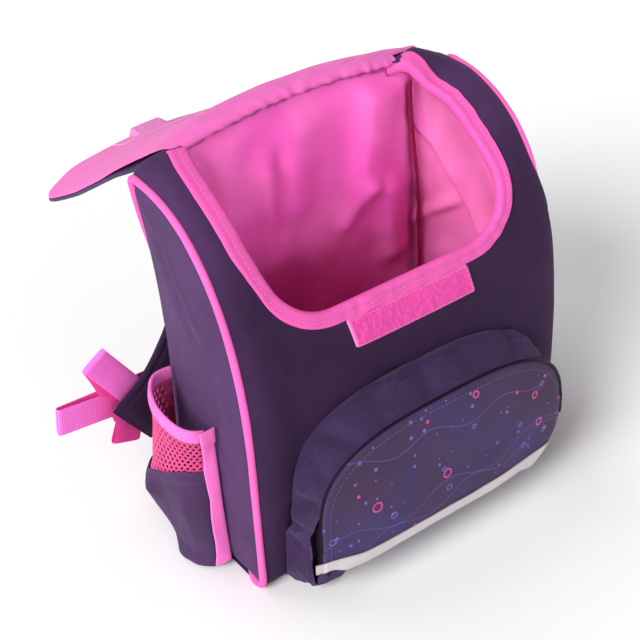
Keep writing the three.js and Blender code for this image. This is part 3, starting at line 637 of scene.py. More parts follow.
def plastic(name, colour):
    """Moulded nylon."""
    paint = Paint(name, 0.45, 0.0, WHITE, 0.25)
    grain = paint.noise(paint.place, 900.0, 2.0)
    return paint.finish(paint.mix(grain, shade(colour, 0.8), shade(colour, 1.3)), grain, 0.2, 0.0001)


def thread(name, colour):
    return woven(name, colour, 0.4, 0.3, 0.7, 0.1, WHITE, 0.05, 1.0)


PURPLE = srgb(52, 31, 61)
# Violet patches on the lining pink: a painted satin sheen.
LINING_PAINTED_SHEEN = srgb(240, 88, 187)
LILAC = (0.8, 0.6, 1.0)
ROSE = (1.0, 0.75, 0.92)
# Woven cloths: name, colour, pitch and depth of weave, roughness, sheen and its tint, mottle, tone for wear
# and painted shading, specular, and painted sheen if any
WOVEN = {
    "cloth": ("cloth_purple", PURPLE, 0.9, 0.45, 0.75, 0.08, LILAC, 0.10, 1.9, 0.08),
    # Painted light: the sides, the side pockets and the pocket gusset get lighter copies of the body cloth,
    # as they catch more light.
    "cloth_side": ("cloth_side_purple", srgb(77, 49, 91), 0.9, 0.45, 0.72, 0.12, LILAC, 0.10, 1.5, 0.1),
    "cloth_pocket": ("cloth_pocket_purple", srgb(70, 46, 82), 0.9, 0.45, 0.72, 0.12, LILAC, 0.10, 1.5, 0.1),
    "cloth_gusset": ("cloth_gusset_purple", srgb(60, 42, 77), 0.9, 0.45, 0.72, 0.12, LILAC, 0.10, 1.8, 0.1),
    "strap": ("strap_cloth", PURPLE, 1.1, 0.6, 0.8, 0.10, LILAC, 0.12, 1.5, 0.08),
    # Painted shade: the lining's corner seams are a darker copy of the lining pink.
    "lining_seam": ("lining_seam_pink", srgb(150, 26, 84), 0.7, 0.4, 0.6, 0.05, ROSE, 0.12, 1.2, 0.1),
    "lining": ("lining_pink", srgb(252, 108, 196), 0.7, 0.25, 0.5, 0.1, ROSE, 0.07, 0.3, 0.25, LINING_PAINTED_SHEEN),
    # Painted light: a paler copy of the lining pink for the side walls.
    "lining_side": ("lining_side_pink", srgb(255, 124, 196), 0.7, 0.25, 0.5, 0.1, ROSE, 0.06, 0.3, 0.25),
    "lid": ("lid_pink", srgb(233, 106, 186), 0.7, 0.25, 0.55, 0.1, ROSE, 0.05, 1.1, 0.2),
    "piping": ("piping_pink", srgb(246, 102, 184), 0.8, 0.35, 0.6, 0.1, ROSE, 0.06, 1.1, 0.15),
    "mesh": ("mesh_pink", srgb(222, 76, 136), 0.6, 0.5, 0.6, 0.1, ROSE, 0.08, 1.1, 0.15),
}
PRINT_TONES = {"blue": srgb(118, 110, 204), "pink": srgb(232, 80, 164)}
MATERIALS = {key: woven(*look) for key, look in WOVEN.items()}
MATERIALS |= {
    "trim": ribbed("trim_pink", srgb(255, 122, 204), 0.8, 0.35),
    "binding": ribbed("binding_pink", srgb(228, 92, 172), 0.8, 0.35),
    # The webbing's deeper pink is painted shade on its shaded layers.
    "webbing": ribbed("webbing_pink", srgb(255, 124, 220), 1.3, 0.5, wear_and_shading_tone=srgb(234, 56, 144)),
    "closure": napped("closure_pink", srgb(255, 86, 178)),
    "hooks": napped("hook_pink", srgb(250, 148, 212)),
    "print": printed("printed_cloth", srgb(66, 45, 76), srgb(62, 50, 98), PRINT_TONES),
    "reflective": reflective("reflective_tape", srgb(200, 192, 197)),
    "zip": plastic("zip_nylon", srgb(30, 16, 34)),
    "thread_dark": thread("thread_purple", srgb(84, 62, 102)),
    "thread_light": thread("thread_lilac", srgb(108, 88, 132)),
    "thread_pink": thread("thread_pink", srgb(250, 120, 200)),
}


# Camera, floor and light

def make_camera():
    azimuth, elevation, roll = map(math.radians, (CAMERA_AZIMUTH_DEG, CAMERA_ELEVATION_DEG, CAMERA_ROLL_DEG))
    level = math.cos(elevation)
    back = Vector((math.sin(azimuth) * level, -math.cos(azimuth) * level, math.sin(elevation)))
    right = Vector((math.cos(azimuth), math.sin(azimuth), 0))
    up = back.cross(right)
    across = math.cos(roll) * right + math.sin(roll) * up
    above = -math.sin(roll) * right + math.cos(roll) * up
    data = bpy.data.cameras.new("camera")
    data.lens = CAMERA_LENS
    data.sensor_width = CAMERA_SENSOR
    camera = add_object("camera", data)
    turn = Matrix((across, above, back)).transposed().to_4x4()
    camera.matrix_world = Matrix.Translation(Vector(CAMERA_PLACE) * MM) @ turn
    bpy.context.scene.camera = camera


def make_floor():
    mesh = bpy.data.meshes.new("floor")
    corners = [(x * FLOOR_REACH_M, y * FLOOR_REACH_M, 0) for x, y in ((-1, -1), (1, -1), (1, 1), (-1, 1))]
    mesh.from_pydata(corners, [], [(0, 1, 2, 3)])
    material, _, surface = shader("floor_pale", 0.9, specular=0.1)
    surface["Base Color"].default_value = (FLOOR_TONE, FLOOR_TONE, FLOOR_TONE, 1)
    mesh.materials.append(material)
    add_object("floor", mesh)


def make_lights():
    """Even studio light: walls brighter than the ceiling, and wide distant lamps for an even floor."""
    world = bpy.data.worlds.new("studio")
    bpy.context.scene.world = world
    world.use_nodes = True
    tree = world.node_tree
    sky = tree.nodes["Background"].inputs
    sky["Color"].default_value = (1.0, 0.99, 1.0, 1)
    height = node(tree, "ShaderNodeSeparateXYZ", {0: node(tree, "ShaderNodeTexCoord")["Generated"]})[2]
    inputs = {"To Min": WALL_LIGHT, "To Max": CEILING_LIGHT, "Value": height}
    tree.links.new(node(tree, "ShaderNodeMapRange", inputs)["Result"], sky["Strength"])
    for name, towards, strength, spread_deg in LAMPS:
        data = bpy.data.lights.new(name, "SUN")
        data.energy = strength
        data.angle = math.radians(spread_deg)
        lamp = add_object(name, data)
        lamp.rotation_euler = Vector(towards).to_track_quat("Z", "Y").to_euler()
    bpy.context.scene.view_settings.view_transform = "Standard"


make_camera()
make_floor()
make_lights()


# Body surface

FOOT_STEPS = 16


def body_arc():
    """Front and top line in the YZ plane, with its normals, by its length s, which is 0 at the floor.

    The last value is the s where the line starts to turn down into the back."""
    quarter = math.pi / 2
    angle = np.linspace(quarter, 0, FOOT_STEPS)
    foot = stack(FRONT_Y + FOOT_RADIUS * (1 - np.cos(angle)), FOOT_RADIUS * (1 - np.sin(angle)))
    straight = stack(FRONT_Y, np.linspace(FOOT_RADIUS, FRONT_STRAIGHT, 40)[1:-1])
    t = np.linspace(0, quarter, 400)
    arch = stack(BACK_Y - BODY_DEPTH * np.cos(t) ** (2 / ARCH_POWER),
                 FRONT_STRAIGHT + ARCH_RISE * np.sin(t) ** (2 / ARCH_POWER))
    arch = arch[arch[:, 0] <= BACK_Y - BACK_RADIUS]
    angle = np.linspace(quarter, 0, 14)[1:]
    corner = stack(BACK_Y - BACK_RADIUS + BACK_RADIUS * np.cos(angle),
                   arch[-1, 1] - BACK_RADIUS + BACK_RADIUS * np.sin(angle))
    line = np.vstack([foot, straight, arch, corner])
    s = reach_of(line)
    s -= s[FOOT_STEPS - 1] - FOOT_RADIUS
    return s, line, turned_left(tangents(line)), s[-len(corner) - 1]


ARC_S, ARC_YZ, ARC_N, ARC_TURN = body_arc()
ARC_START, ARC_END = ARC_S[0], ARC_S[-1]


def arc_at(s):
    """Place and normal on the arc, each as its y and z."""
    return [[np.interp(s, ARC_S, line[:, k]) for k in (0, 1)] for line in (ARC_YZ, ARC_N)]


FRONT_BULGE = 6.0
BULGE_FULL_FROM = 70.0
EDGE_LIFT = 4.0
EDGE_LIFT_FROM = 84.0
# Lift of the arms' back ends: place across, height
BACK_LIFT = [(-120, 8.0), (-92, 7.0), (52, 6.5), (66, 7.5), (78, 9.0), (88, 12.0), (112, 2.6), (120, 0.5)]
BACK_LIFT_FROM = {"left": 205.0, "right": 284.0}
# Sag of the mouth's right edge: depth, stretch of the arc over which it grows, place and outer end across
RIGHT_SAG = 5.0
SAG_FROM, SAG_FULL = 205.0, 250.0
SAG_AT, SAG_TO = 86.0, 112.0
PILLOW_FROM = 107.0
PILLOW_TO = 119.2
SEAM_DEPTH = 1.6
# Roll of the front over its right seam
ROLL_REACH = 4.6
ROLL_TURN = 0.22
ROLL_FROM = 225.0
ROLL_FULL = 180.0
ROLL_FOOT = 60.0
BACK_PINCH = 9.0
PINCH_FROM_Y = -20.0


def crown(x):
    return FRONT_BULGE * (1 - np.minimum(1, np.abs(x) / HALF_WIDTH) ** 4)


def right_roll(s, x):
    """How far the filled front rolls out over its right seam, 0 to 1."""
    rolled = smooth(FOOT_RADIUS, ROLL_FOOT, s) * smooth(ROLL_FROM, ROLL_FULL, s)
    return np.where(np.asarray(x) > 0, rolled, 0.0)


def front_turn(s, x):
    """Angle by which the front panel has turned away towards the seam at its edge."""
    share = np.clip((np.abs(x) - PILLOW_FROM) / (PILLOW_TO - PILLOW_FROM), 0, 1)
    return share * math.pi / 2 * (1 + ROLL_TURN * right_roll(s, x))


def front_profile(s, x):
    """Height of the filled front panel over its arc: pillowed along both edges, tucked in at the seams."""
    grown = np.clip((s - FOOT_RADIUS) / (BULGE_FULL_FROM - FOOT_RADIUS), 0, 1)
    left_rear, right_rear = (smooth(BACK_LIFT_FROM[key], ARC_TURN, s) for key in ("left", "right"))
    rear = np.where(np.asarray(x) > 0, right_rear, left_rear)
    sag = RIGHT_SAG * smooth(SAG_FROM, SAG_FULL, s) * smooth(0, SAG_AT, x) * smooth(SAG_TO, SAG_AT, x)
    edge = EDGE_LIFT * smooth(EDGE_LIFT_FROM, PILLOW_FROM, np.abs(x)) - sag
    top = crown(x) + edge * (1 - rear) + lookup(BACK_LIFT, x) * rear
    over = np.cos(front_turn(s, x))
    return top * grown * over - SEAM_DEPTH * (1 - over)


def front_point(s, x, h=0.0):
    """Place on the front panel, raised by h above it."""
    s, x, h = np.broadcast_arrays(np.asarray(s, float), np.asarray(x, float), np.asarray(h, float))
    (y, z), (ny, nz) = arc_at(s)
    _, (by, bz) = arc_at(np.minimum(s, ARC_TURN))
    bulge = front_profile(s, x)
    reach = PILLOW_TO - PILLOW_FROM + ROLL_REACH * right_roll(s, x)
    turned = np.sign(x) * (PILLOW_FROM + reach * np.sin(front_turn(s, x)))
    place = np.where(np.abs(x) > PILLOW_FROM, turned, x)
    return stack(place, y + by * bulge + ny * h, z + bz * bulge + nz * h)


def front_normal(s, x):
    ds = front_point(s + 0.5, x) - front_point(s - 0.5, x)
    dx = front_point(s, x + 0.5) - front_point(s, x - 0.5)
    return unit(np.cross(dx, ds))


def front_face_y(x, z):
    """Front of the body at a height below its arch."""
    low = np.full(np.shape(x), ARC_START)
    high = np.full(np.shape(x), ARC_TURN)
    for _ in range(30):
        middle = (low + high) / 2
        below = front_point(middle, x)[..., 2] < z
        low = np.where(below, middle, low)
        high = np.where(below, high, middle)
    return front_point(low, x)[..., 1]


def pinch(y, z):
    """How far the sides draw in towards the back at half height."""
    return BACK_PINCH * np.sin(math.pi * np.clip(z / BODY_HEIGHT, 0, 1)) * smooth(PINCH_FROM_Y, BACK_Y, y)


# Mouth, along the front panel's arc
MOUTH_FRONT = 179.0
MOUTH_HALF = 91.0
MOUTH_BACK_HALF = 86.0
MOUTH_CORNER = 40.0
MOUTH_STRAIGHT = MOUTH_HALF - MOUTH_CORNER
MOUTH_TAPER_FROM = 265.0
# How far each edge of the mouth lies out from a symmetric mouth's: place along the arc, distance
MOUTH_OUT = {
    "left": [(195, 0.0), (210, 0.2), (218, 1.2), (230, 3.4), (249, 4.8), (268, 5.0), (288, 4.2), (304, 1.5),
             (320, 1.0)],
    "right": [(195, 0.0), (206, -2.2), (226, -3.3), (256, -3.6), (275, -3.8), (288, -5.0), (296, -8.2),
              (301, -12.4), (303.5, -17.0), (305, -23.0), (306, -30.0), (320, -30.0)],
}


def mouth_half(side, corner_count=16, side_count=44):
    """One half of the mouth's edge as s and distance from the middle, from the front corner to the back."""
    angle = np.linspace(-math.pi / 2, 0, corner_count)
    s = MOUTH_FRONT + MOUTH_CORNER * (1 + np.sin(angle))
    x = MOUTH_HALF - MOUTH_CORNER * (1 - np.cos(angle))
    arm = np.linspace(s[-1], ARC_END, side_count)[1:]
    taper = MOUTH_HALF + (MOUTH_BACK_HALF - MOUTH_HALF) * smooth(MOUTH_TAPER_FROM, ARC_END, arm)
    s = np.concatenate([s, arm])
    return s, np.concatenate([x, taper]) + follow(MOUTH_OUT[side], s)


def banded_sheet(lower_rows, height_at, edge_x):
    """The front band with the mouth cut out of it: points, (s, x) and quads."""
    arm_columns, middle_columns = 26, 54
    share = np.linspace(0, 1, arm_columns)
    left = -edge_x + (edge_x - MOUTH_STRAIGHT) * share
    middle = np.linspace(-MOUTH_STRAIGHT, MOUTH_STRAIGHT, middle_columns)[1:-1]
    columns = np.concatenate([left, middle, -left[::-1]])
    lower = grid_ids(lower_rows, len(columns))
    flat = [stack(*mesh_grid(np.linspace(ARC_START, MOUTH_FRONT, lower_rows), columns)).reshape(-1, 2)]
    quads = [grid_quads(lower)]
    start = lower.size
    seams = {"left": lower[-1, :arm_columns], "right": lower[-1, -arm_columns:][::-1]}
    for side, seam in seams.items():
        way = -1 if side == "left" else 1
        arm_s, inner_x = mouth_half(side)
        x = way * (edge_x + (inner_x[1:, None] - edge_x) * share[None])
        part = grid_quads(np.vstack([seam, grid_ids(*x.shape, start=start)]))
        quads.append(part[:, ::-way])
        flat.append(stack(arm_s[1:, None], x).reshape(-1, 2))
        start += x.size
    flat = np.vstack(flat)
    points = front_point(flat[:, 0], flat[:, 1], height_at(flat[:, 0], flat[:, 1]))
    return points, flat, np.vstack(quads)


# Body panels

PANEL_EDGE = 119.1
PANEL_WIDTH = 2 * HALF_WIDTH
# Creases of the front panel: start and end (s, x), width, depth
FRONT_CREASES = [
    ((150, -112), (60, -109), 5, -0.9),
    ((170, -70), (128, -20), 9, -0.8),
    ((160, 62), (130, 20), 10, -0.7),
    ((240, 110), (170, 112), 6, -0.8),
]


def front_relief(s, x):
    soft = slack(s, x, (0.7, 46, 1), (0.3, 17, 2))
    edge = smooth(BULGE_FULL_FROM, 20, s) * 0.6 * noise(s, x, 24, 3)
    return (soft + edge + creases(s, x, FRONT_CREASES)) * smooth(PANEL_EDGE, 110, np.abs(x))


def make_front_panel():
    points, flat, quads = banded_sheet(110, front_relief, PANEL_EDGE)
    s, x = flat.T
    tuck = pinch(points[:, 1], points[:, 2])
    points[:, 0] -= np.sign(points[:, 0]) * tuck * smooth(60, HALF_WIDTH, np.abs(points[:, 0]))
    # The last term is painted light: the arms at the top are lighter where light falls on them.
    wear = 0.2 * hump(np.abs(x), 112, 4) + 0.1 * specks(s, x, 9, 4) + 0.85 * smooth(185, 270, s)
    panel = cloth("front_panel_cloth", points, quads, flat[:, ::-1], CLOTH, front_normal(s, x), wear)
    finish_sheet(panel, ["front_panel"], "cloth", "cloth", (PANEL_WIDTH, ARC_END - ARC_START), "stretched",
                 quad_area(points, quads))


def side_outline(inset, base_inset, tucked):
    """Outline of a side panel in the YZ plane. Along the front's roll it is tucked in further, by so much."""
    front = stack(*arc_at(np.linspace(ARC_START, ARC_END, 150))[0])
    back = stack(BACK_Y, np.linspace(front[-1, 1], FOOT_RADIUS, 40)[1:])
    angle = np.linspace(0, math.pi / 2, 10)[1:]
    foot = stack(BACK_Y - FOOT_RADIUS + FOOT_RADIUS * np.cos(angle), FOOT_RADIUS * (1 - np.sin(angle)))
    base = stack(np.linspace(BACK_Y - FOOT_RADIUS, FRONT_Y + FOOT_RADIUS, 24)[1:-1], 0.0)
    line = np.vstack([front, back, foot, base])
    normal = turned_left(tangents(line, closed=True))
    amount = inset + (base_inset - inset) * np.clip(-normal[:, 1], 0, 1)
    under_roll = smooth(FOOT_RADIUS, 50, line[:, 1]) * smooth(ROLL_FROM - 10, ROLL_FULL - 5, line[:, 1])
    amount = amount + tucked * np.clip(-normal[:, 0], 0, 1) * under_roll
    return line - normal * amount[:, None]


SIDE_CENTRE = np.array([8.0, 118.0])
SIDE_BULGE = 4.0
SIDE_SEAM = 0.6
# Creases of the side panels: start and end (y, z), width, depth
SIDE_CREASES = [
    ((44, 236), (-14, 174), 3.2, 1.5),
    ((40, 226), (-10, 160), 8, -1.6),
    ((-33, 160), (-30, 60), 4.5, 1.2),
    ((-24, 150), (-22, 40), 5, -1.0),
    ((10, 170), (30, 130), 9, -1.2),
    ((-40, 40), (-12, 12), 6, 0.9),
]


def make_side_panels():
    """Side panels of rings round their centre, closed there by a fan."""
    shares = np.concatenate([np.linspace(0.02, 0.9, 36), np.linspace(0.92, 0.995, 8)])
    for side, way, tucked in (("left", -1, 0.0), ("right", 1, 5.0)):
        line = resample(side_outline(SIDE_SEAM, SIDE_SEAM + 1.0, tucked), 200, closed=True)
        place = SIDE_CENTRE + shares[:, None, None] * (line[None] - SIDE_CENTRE)
        y, z = place[..., 0], place[..., 1]
        share = np.broadcast_to(shares[:, None], y.shape)
        relief = creases(y, z, SIDE_CREASES) + 0.7 * noise(y, z, 34, 5) + 0.3 * noise(y, z, 13, 6)
        relief = relief * smooth(1.0, 0.9, share)
        tuck = 2.2 * smooth(0.93, 1.0, share) ** 2
        x = way * (HALF_WIDTH - pinch(y, z) + SIDE_BULGE * (1 - share ** 2) + relief - tuck)
        wear = 0.3 * smooth(0.93, 0.985, share) + 0.1 * specks(y, z, 8, 7)
        name = f"side_panel_{side}"
        panel, area = disc_cloth(f"{name}_cloth", stack(x, y, z), place, CLOTH, (way, 0, 0), wear)
        # The sides use a lighter copy of the body cloth, as painted light.
        finish_sheet(panel, [name], "cloth", "cloth_side", (BODY_DEPTH, BODY_HEIGHT), "stretched",
                     area)


PIPING_RADIUS = 2.4
PIPING_TUCK = 5.0
PIPING_INSET = 0.4


def make_piping():
    """Piping round each side panel, tucked away under the foot and behind the back edge."""
    for side, way, tucked in (("left", -1, 0.0), ("right", 1, 5.2)):
        line = resample(side_outline(PIPING_INSET, 2.2, tucked), 330, closed=True)
        y, z = line[:, 0], line[:, 1]
        foot = smooth(FOOT_RADIUS, 3.0, z) * smooth(FRONT_Y + 9, FRONT_Y + 24, y)
        behind = smooth(BACK_Y - 9, BACK_Y - 2, y) * smooth(240, 172, z)
        hidden = PIPING_TUCK * np.maximum(foot, behind)
        path = stack(way * (HALF_WIDTH - PIPING_INSET - pinch(y, z) - hidden), y, z)
        along = tangents(path, closed=True)
        out = unit(np.cross(along, np.array([1.0, 0, 0])))
        across = unit(np.cross(out, along))
        ring = circle(14)
        wobble = 1 + 0.06 * noise(np.arange(len(path)) * 2.2, 0, 11, 8)
        rings = swept(path, across, out, ring[None] * (PIPING_RADIUS * wobble)[:, None, None])
        around = np.linspace(0, 2 * math.pi * PIPING_RADIUS, len(ring))
        piece = tube(f"piping_{side}_cord", rings, reach_of(path), around, closed=True)
        finish_piece(piece, [f"piping_{side}"], "trim", "piping")


def make_back():
    top = ARC_YZ[-1, 1]
    z, share = mesh_grid(np.linspace(9.5, top, 90), np.linspace(-1, 1, 80))
    side = np.abs(share)
    x = share * (PANEL_EDGE - pinch(BACK_Y, z))
    arms = smooth(80, 92, np.abs(x))
    rise = front_profile(ARC_TURN, x) * arms + (rim_top(x) - 4 - top) * (1 - arms)
    lift = rise * smooth(top - 70, top, z)
    padded = 1.6 * smooth(1.0, 0.8, side) * smooth(9, 24, z) * smooth(top, top - 18, z)
    relief = slack(x, z, (0.5, 40, 9), (0.2, 15, 10))
    edge = 2.0 * smooth(0.93, 1.0, side) ** 2
    y = BACK_Y - 0.9 + 0.5 * padded + relief * smooth(1.0, 0.9, side) - edge
    points = stack(x, y, z + lift)
    back = grid_cloth("back_panel_cloth", points, stack(x, z), outward=(0, 1, 0),
                      wear=0.25 * smooth(0.94, 0.99, side))
    finish_sheet(back, ["back_panel"], "cloth", "cloth", (PANEL_WIDTH, BODY_HEIGHT), "stretched",
                 grid_area(points))


def make_base():
    """Base, with its turn up at the back."""
    base_y = np.linspace(FRONT_Y + FOOT_RADIUS, BACK_Y - FOOT_RADIUS, 40)
    turn = np.linspace(0, math.pi / 2, 12)[1:]
    line_y = np.concatenate([base_y, BACK_Y - FOOT_RADIUS + FOOT_RADIUS * np.sin(turn)])
    line_z = np.concatenate([np.zeros(len(base_y)), FOOT_RADIUS * (1 - np.cos(turn))])
    share = np.linspace(0, 1, 60) * 2 - 1
    x = share[None] * (PANEL_EDGE - 0.4 - pinch(line_y, line_z)[:, None])
    y, z = (np.broadcast_to(line[:, None], x.shape) for line in (line_y, line_z))
    sag = 0.35 * (1 + noise(x, y, 30, 11)) * smooth(FOOT_RADIUS, 0, z)
    points = stack(x, y, z + sag * smooth(118, 100, np.abs(x)))
    base = grid_cloth("base_panel_cloth", points, stack(x, y), outward=(0, 0, -1),
                      wear=0.3 * specks(x, y, 12, 12))
    finish_sheet(base, ["base_panel"], "cloth", "cloth", (PANEL_WIDTH, BODY_DEPTH + FOOT_RADIUS), "stretched",
                 grid_area(points))


# Lining of the main compartment

# Back rim: height at its ends, and how much higher its middle bows
RIM_ENDS = 262.5
RIM_BOW = 8.5
RIM_HALF = 85.0


def rim_top(x):
    return RIM_ENDS + np.maximum(RIM_BOW * (1 - (x / RIM_HALF) ** 2), -1.5)


LINING_THICK = 0.7
LINING_BACK_HALF = 87.0
LINING_BAND_EDGE = 112.0
LINING_INSET = 2.8
LINING_FLOOR = 7.0
LINING_GIRTH = 420.0
LINING_MIDDLE = np.array([0.0, 0.0, 110.0])
LINING_AREA = 0.247
LINING_FLAT = (450, 550)
LINING_SEAM_FLAT = (10.5, 245)
# Left half of the lining's walls in plan, from the front seam to the middle of the back: x, y
LINING_PLAN = [(-115.5, -46.0), (-115.0, -10.0), (-112.0, 14.0), (-100.0, 36.0), (-LINING_BACK_HALF, 46.0),
               (-70.0, 47.6), (0.0, 48.0)]
# Depth of the dark sewn line under the rim
SEWN_LINE = 4.4
# Folds of the back wall: start and end (x, z), width, depth towards the inside, lean if any
LINING_FOLDS = [
    ((-33, 240), (-38, 150), 9, 7.5, 2.2),
    ((-22, 240), (-27, 170), 6, -4.5),
    ((-4, 256), (-12, 180), 15, 4.5),
    ((51, 262), (38, 176), 11, 7.5, 2.2),
    ((58, 192), (62, 120), 8, 7.0, 2.0),
    ((50, 194), (20, 160), 7, 4.0),
    ((-62, 250), (-58, 120), 15, 5.0),
    ((-79, 256), (-70, 200), 6, -3.0),
    ((2, 170), (-8, 60), 14, 4.0),
]
# Folds of the side walls: start and end (y, z), width, depth towards the inside, lean if any
LINING_SIDE_FOLDS = [
    ((50, 236), (-2, 126), 12.0, 7.0, 0.28),
    ((36, 244), (-10, 140), 9.0, -2.0),
    ((56, 138), (20, 162), 6.0, 5.0, 0.3),
    ((30, 130), (26, 50), 8.0, 4.0),
    ((10, 120), (0, 40), 9.0, 3.0),
    ((-20, 120), (-24, 30), 9.0, 2.5),
]
# Painted shade along a fold valley of the side walls: start and end (y, z), width, depth
VALLEY_SHADE_LINE = ((40, 250), (-12, 140), 7.0, 0.36)


def arch_height(y):
    cosine = np.clip((BACK_Y - y) / BODY_DEPTH, 0, 1) ** (ARCH_POWER / 2)
    return FRONT_STRAIGHT + ARCH_RISE * np.sqrt(1 - cosine ** 2) ** (2 / ARCH_POWER)


def lining_wall(share):
    """Line of the lining's walls in plan: share runs from the left front seam round to the right one."""
    left = np.array(LINING_PLAN)
    path = resample(np.vstack([left, (left * [-1, 1])[-2::-1]]), 241)
    return [np.interp(share * (len(path) - 1), np.arange(len(path)), column) for column in path.T]


def lining_band():
    """The inside of the front panel, up to the seams with the sides.

    Each part of the lining comes as points, quads, uv, direction of its face and darkness."""
    def height_at(s, x):
        loose = 0.9 * noise(s, x, 28, 13) * smooth(118, 100, np.abs(x))
        return -LINING_INSET + loose - 0.4 - 2.0 * smooth(100, 118, np.abs(x)) ** 2

    points, flat, quads = banded_sheet(40, height_at, LINING_BAND_EDGE)
    inwards = -front_normal(flat[:, 0], flat[:, 1])
    # Painted shade: darker lower down inside the bag.
    return points, quads, flat[:, ::-1], inwards, 0.2 * smooth(150, 60, points[:, 2])


def lining_walls():
    """Sides and back as one loose run."""
    rows = np.concatenate([np.linspace(0, 0.955, 84), np.linspace(0.958, 1, 18)])
    row, share = mesh_grid(rows, np.linspace(0, 1, 210))
    x, y = lining_wall(share)
    side = np.abs(x)
    back_wall = smooth(LINING_BACK_HALF + 3, LINING_BACK_HALF - 12, side)
    side_top = arch_height(y) - 4 + 6 * smooth(10, 46, y)
    top = side_top + (rim_top(x) - 1 - side_top) * smooth(LINING_BACK_HALF + 8, LINING_BACK_HALF - 2, side)
    z = LINING_FLOOR + (top - LINING_FLOOR) * row
    hang = smooth(1.0, 0.93, row)
    fold = creases(x, z, LINING_FOLDS) * 1.1 + 1.3 * noise(x, z * 0.4, 34, 14) + 0.35 * noise(x, z, 12, 15)
    loose = creases(y, z, LINING_SIDE_FOLDS) + 1.3 * noise(y, z, 34, 16) + 0.5 * noise(y, z, 13, 17)
    # Painted shade along the side walls' fold valley.
    pressed = crease(y, z, *VALLEY_SHADE_LINE) * (1 - back_wall)
    notch = z - top + SEWN_LINE + 1.1 * noise(x, 0, 3.0, 44) + 0.7 * noise(x, 0, 9.0, 45)
    sewn = 0.8 * smooth(-0.6, 0.8, notch) * smooth(LINING_BACK_HALF, LINING_BACK_HALF - 4, side)
    # The sewn line is a dark seam; the rest is painted shade, darker towards the bottom and along the side
    # walls' fold valley.
    dark = np.maximum(sewn, 0.28 * smooth(190, 90, z)) + pressed
    y = y - np.maximum(fold + 2.4, 0) * back_wall * hang
    x = x - np.sign(x) * (1 - back_wall) * np.maximum(loose + 1.4, 0) * hang
    points = stack(x, y, z).reshape(-1, 3)
    uv = stack(share * LINING_GIRTH, z).reshape(-1, 2)
    return points, grid_quads(grid_ids(*x.shape)), uv, LINING_MIDDLE - points, dark.ravel()


def lining_floor():
    u, w = mesh_grid(np.linspace(-1, 1, 60), np.linspace(0, 1, 40))
    x = u * 114
    y = (FRONT_Y + 3) + w * (99 - 30 * np.clip(np.abs(u) - 0.72, 0, 1))
    points = stack(x, y, LINING_FLOOR + 0.5 + 0.8 * noise(x, y, 22, 18)).reshape(-1, 3)
    uv = stack(x, y).reshape(-1, 2)
    # Painted shade: the floor is darker all over, deep inside the bag.
    return points, grid_quads(grid_ids(*x.shape)), uv, (0, 0, 1), np.full(len(points), 0.3)


def make_lining():
    """The three parts as one piece, with a paler pink on the side walls that is painted light."""
    walls = lining_walls()
    solids, uvs, darks, side_faces, area = [], [], [], [], 0.0
    for part in (lining_band(), walls, lining_floor()):
        points, quads, uv, inwards, dark = part
        solid, faces, rim = cloth_data(points, quads, LINING_THICK, inwards)
        solids.append((solid, faces.tolist()))
        uvs.append(all_round(uv, rim))
        darks.append(all_round(dark, rim))
        on_side = np.abs(solid[faces[:, 0], 0]) > LINING_BACK_HALF + 1
        side_faces.append(on_side & (part is walls))
        area += quad_area(points, quads)
    lining = make_object("lining_cloth", *merged(solids), np.vstack(uvs), np.concatenate(darks))
    finish_sheet(lining, ["lining"], "lining", "lining", LINING_FLAT, "hung",
                 min(area, LINING_AREA))
    # Paler pink on the side walls: painted light.
    lining.data.materials.append(MATERIALS["lining_side"])
    lining.data.polygons.foreach_set("material_index", np.concatenate(side_faces).astype(np.int32))


def make_lining_seams():
    """Bound seam allowances standing crinkled in the back corners of the lining, in a darker pink that is
    painted shade.
    """
    z, w = mesh_grid(np.linspace(14, 250, 160), np.linspace(0, 1, 9))
    wave = (1.2 * np.sin(z / 3.1) + 2.4 * noise(z, 0, 13, 19)) * w
    x = LINING_BACK_HALF + 1.0 - 6.0 * smooth(150, 250, z) - 6.5 * w + wave * 0.7
    y = 44.0 - 5.5 * w + wave * 0.6
    for side, way, out in (("right", 1, 0.0), ("left", -1, 13.0)):
        points = stack(way * (x + out), y, z)
        piece = grid_cloth(f"lining_seam_{side}", points, stack(w * 8, z), 1.0, outward=(-way, -0.6, 0))
        finish_sheet(piece, [], "lining", "lining_seam", LINING_SEAM_FLAT, "hung")


# Binding on the mouth

BINDING_WIDTH = 20.0
BINDING_SEAM = 3.8
# The binding's ends dive by this much; on the right over so much of its length
BINDING_DIVE = 4.0
RIGHT_DIVE_LENGTH = 16.0
UNSEWN_END = 30.0
# Section of the binding: distance into the cloth, height over it
BINDING_SECTION = [
    (7.4, 0.0), (7.6, 0.7), (7.3, 1.3), (6.3, 1.6), (4.9, 1.55), (3.7, 1.4), (2.3, 1.6), (0.9, 1.8),
    (-0.7, 1.7), (-1.8, 0.7), (-2.2, -0.8), (-2.2, -2.4), (-1.8, -3.9), (-0.7, -4.8), (1.0, -5.1),
    (5.4, -4.9), (5.9, -4.5), (5.5, -4.0), (1.2, -3.9), (0.2, -3.5), (-0.4, -2.6), (-0.5, -1.5),
    (-0.2, -0.4), (0.8, -0.1),
]


def mouth_line():
    """The whole edge of the mouth as (s, x), from the left back round the front to the right back."""
    left_s, left_x = mouth_half("left", 24, 60)
    front = stack(MOUTH_FRONT, np.linspace(-MOUTH_STRAIGHT, MOUTH_STRAIGHT, 40)[1:-1])
    line = np.concatenate([stack(left_s, -left_x)[::-1], front, stack(*mouth_half("right", 24, 60))])
    return line[line[:, 0] < ARC_TURN + 1.0]


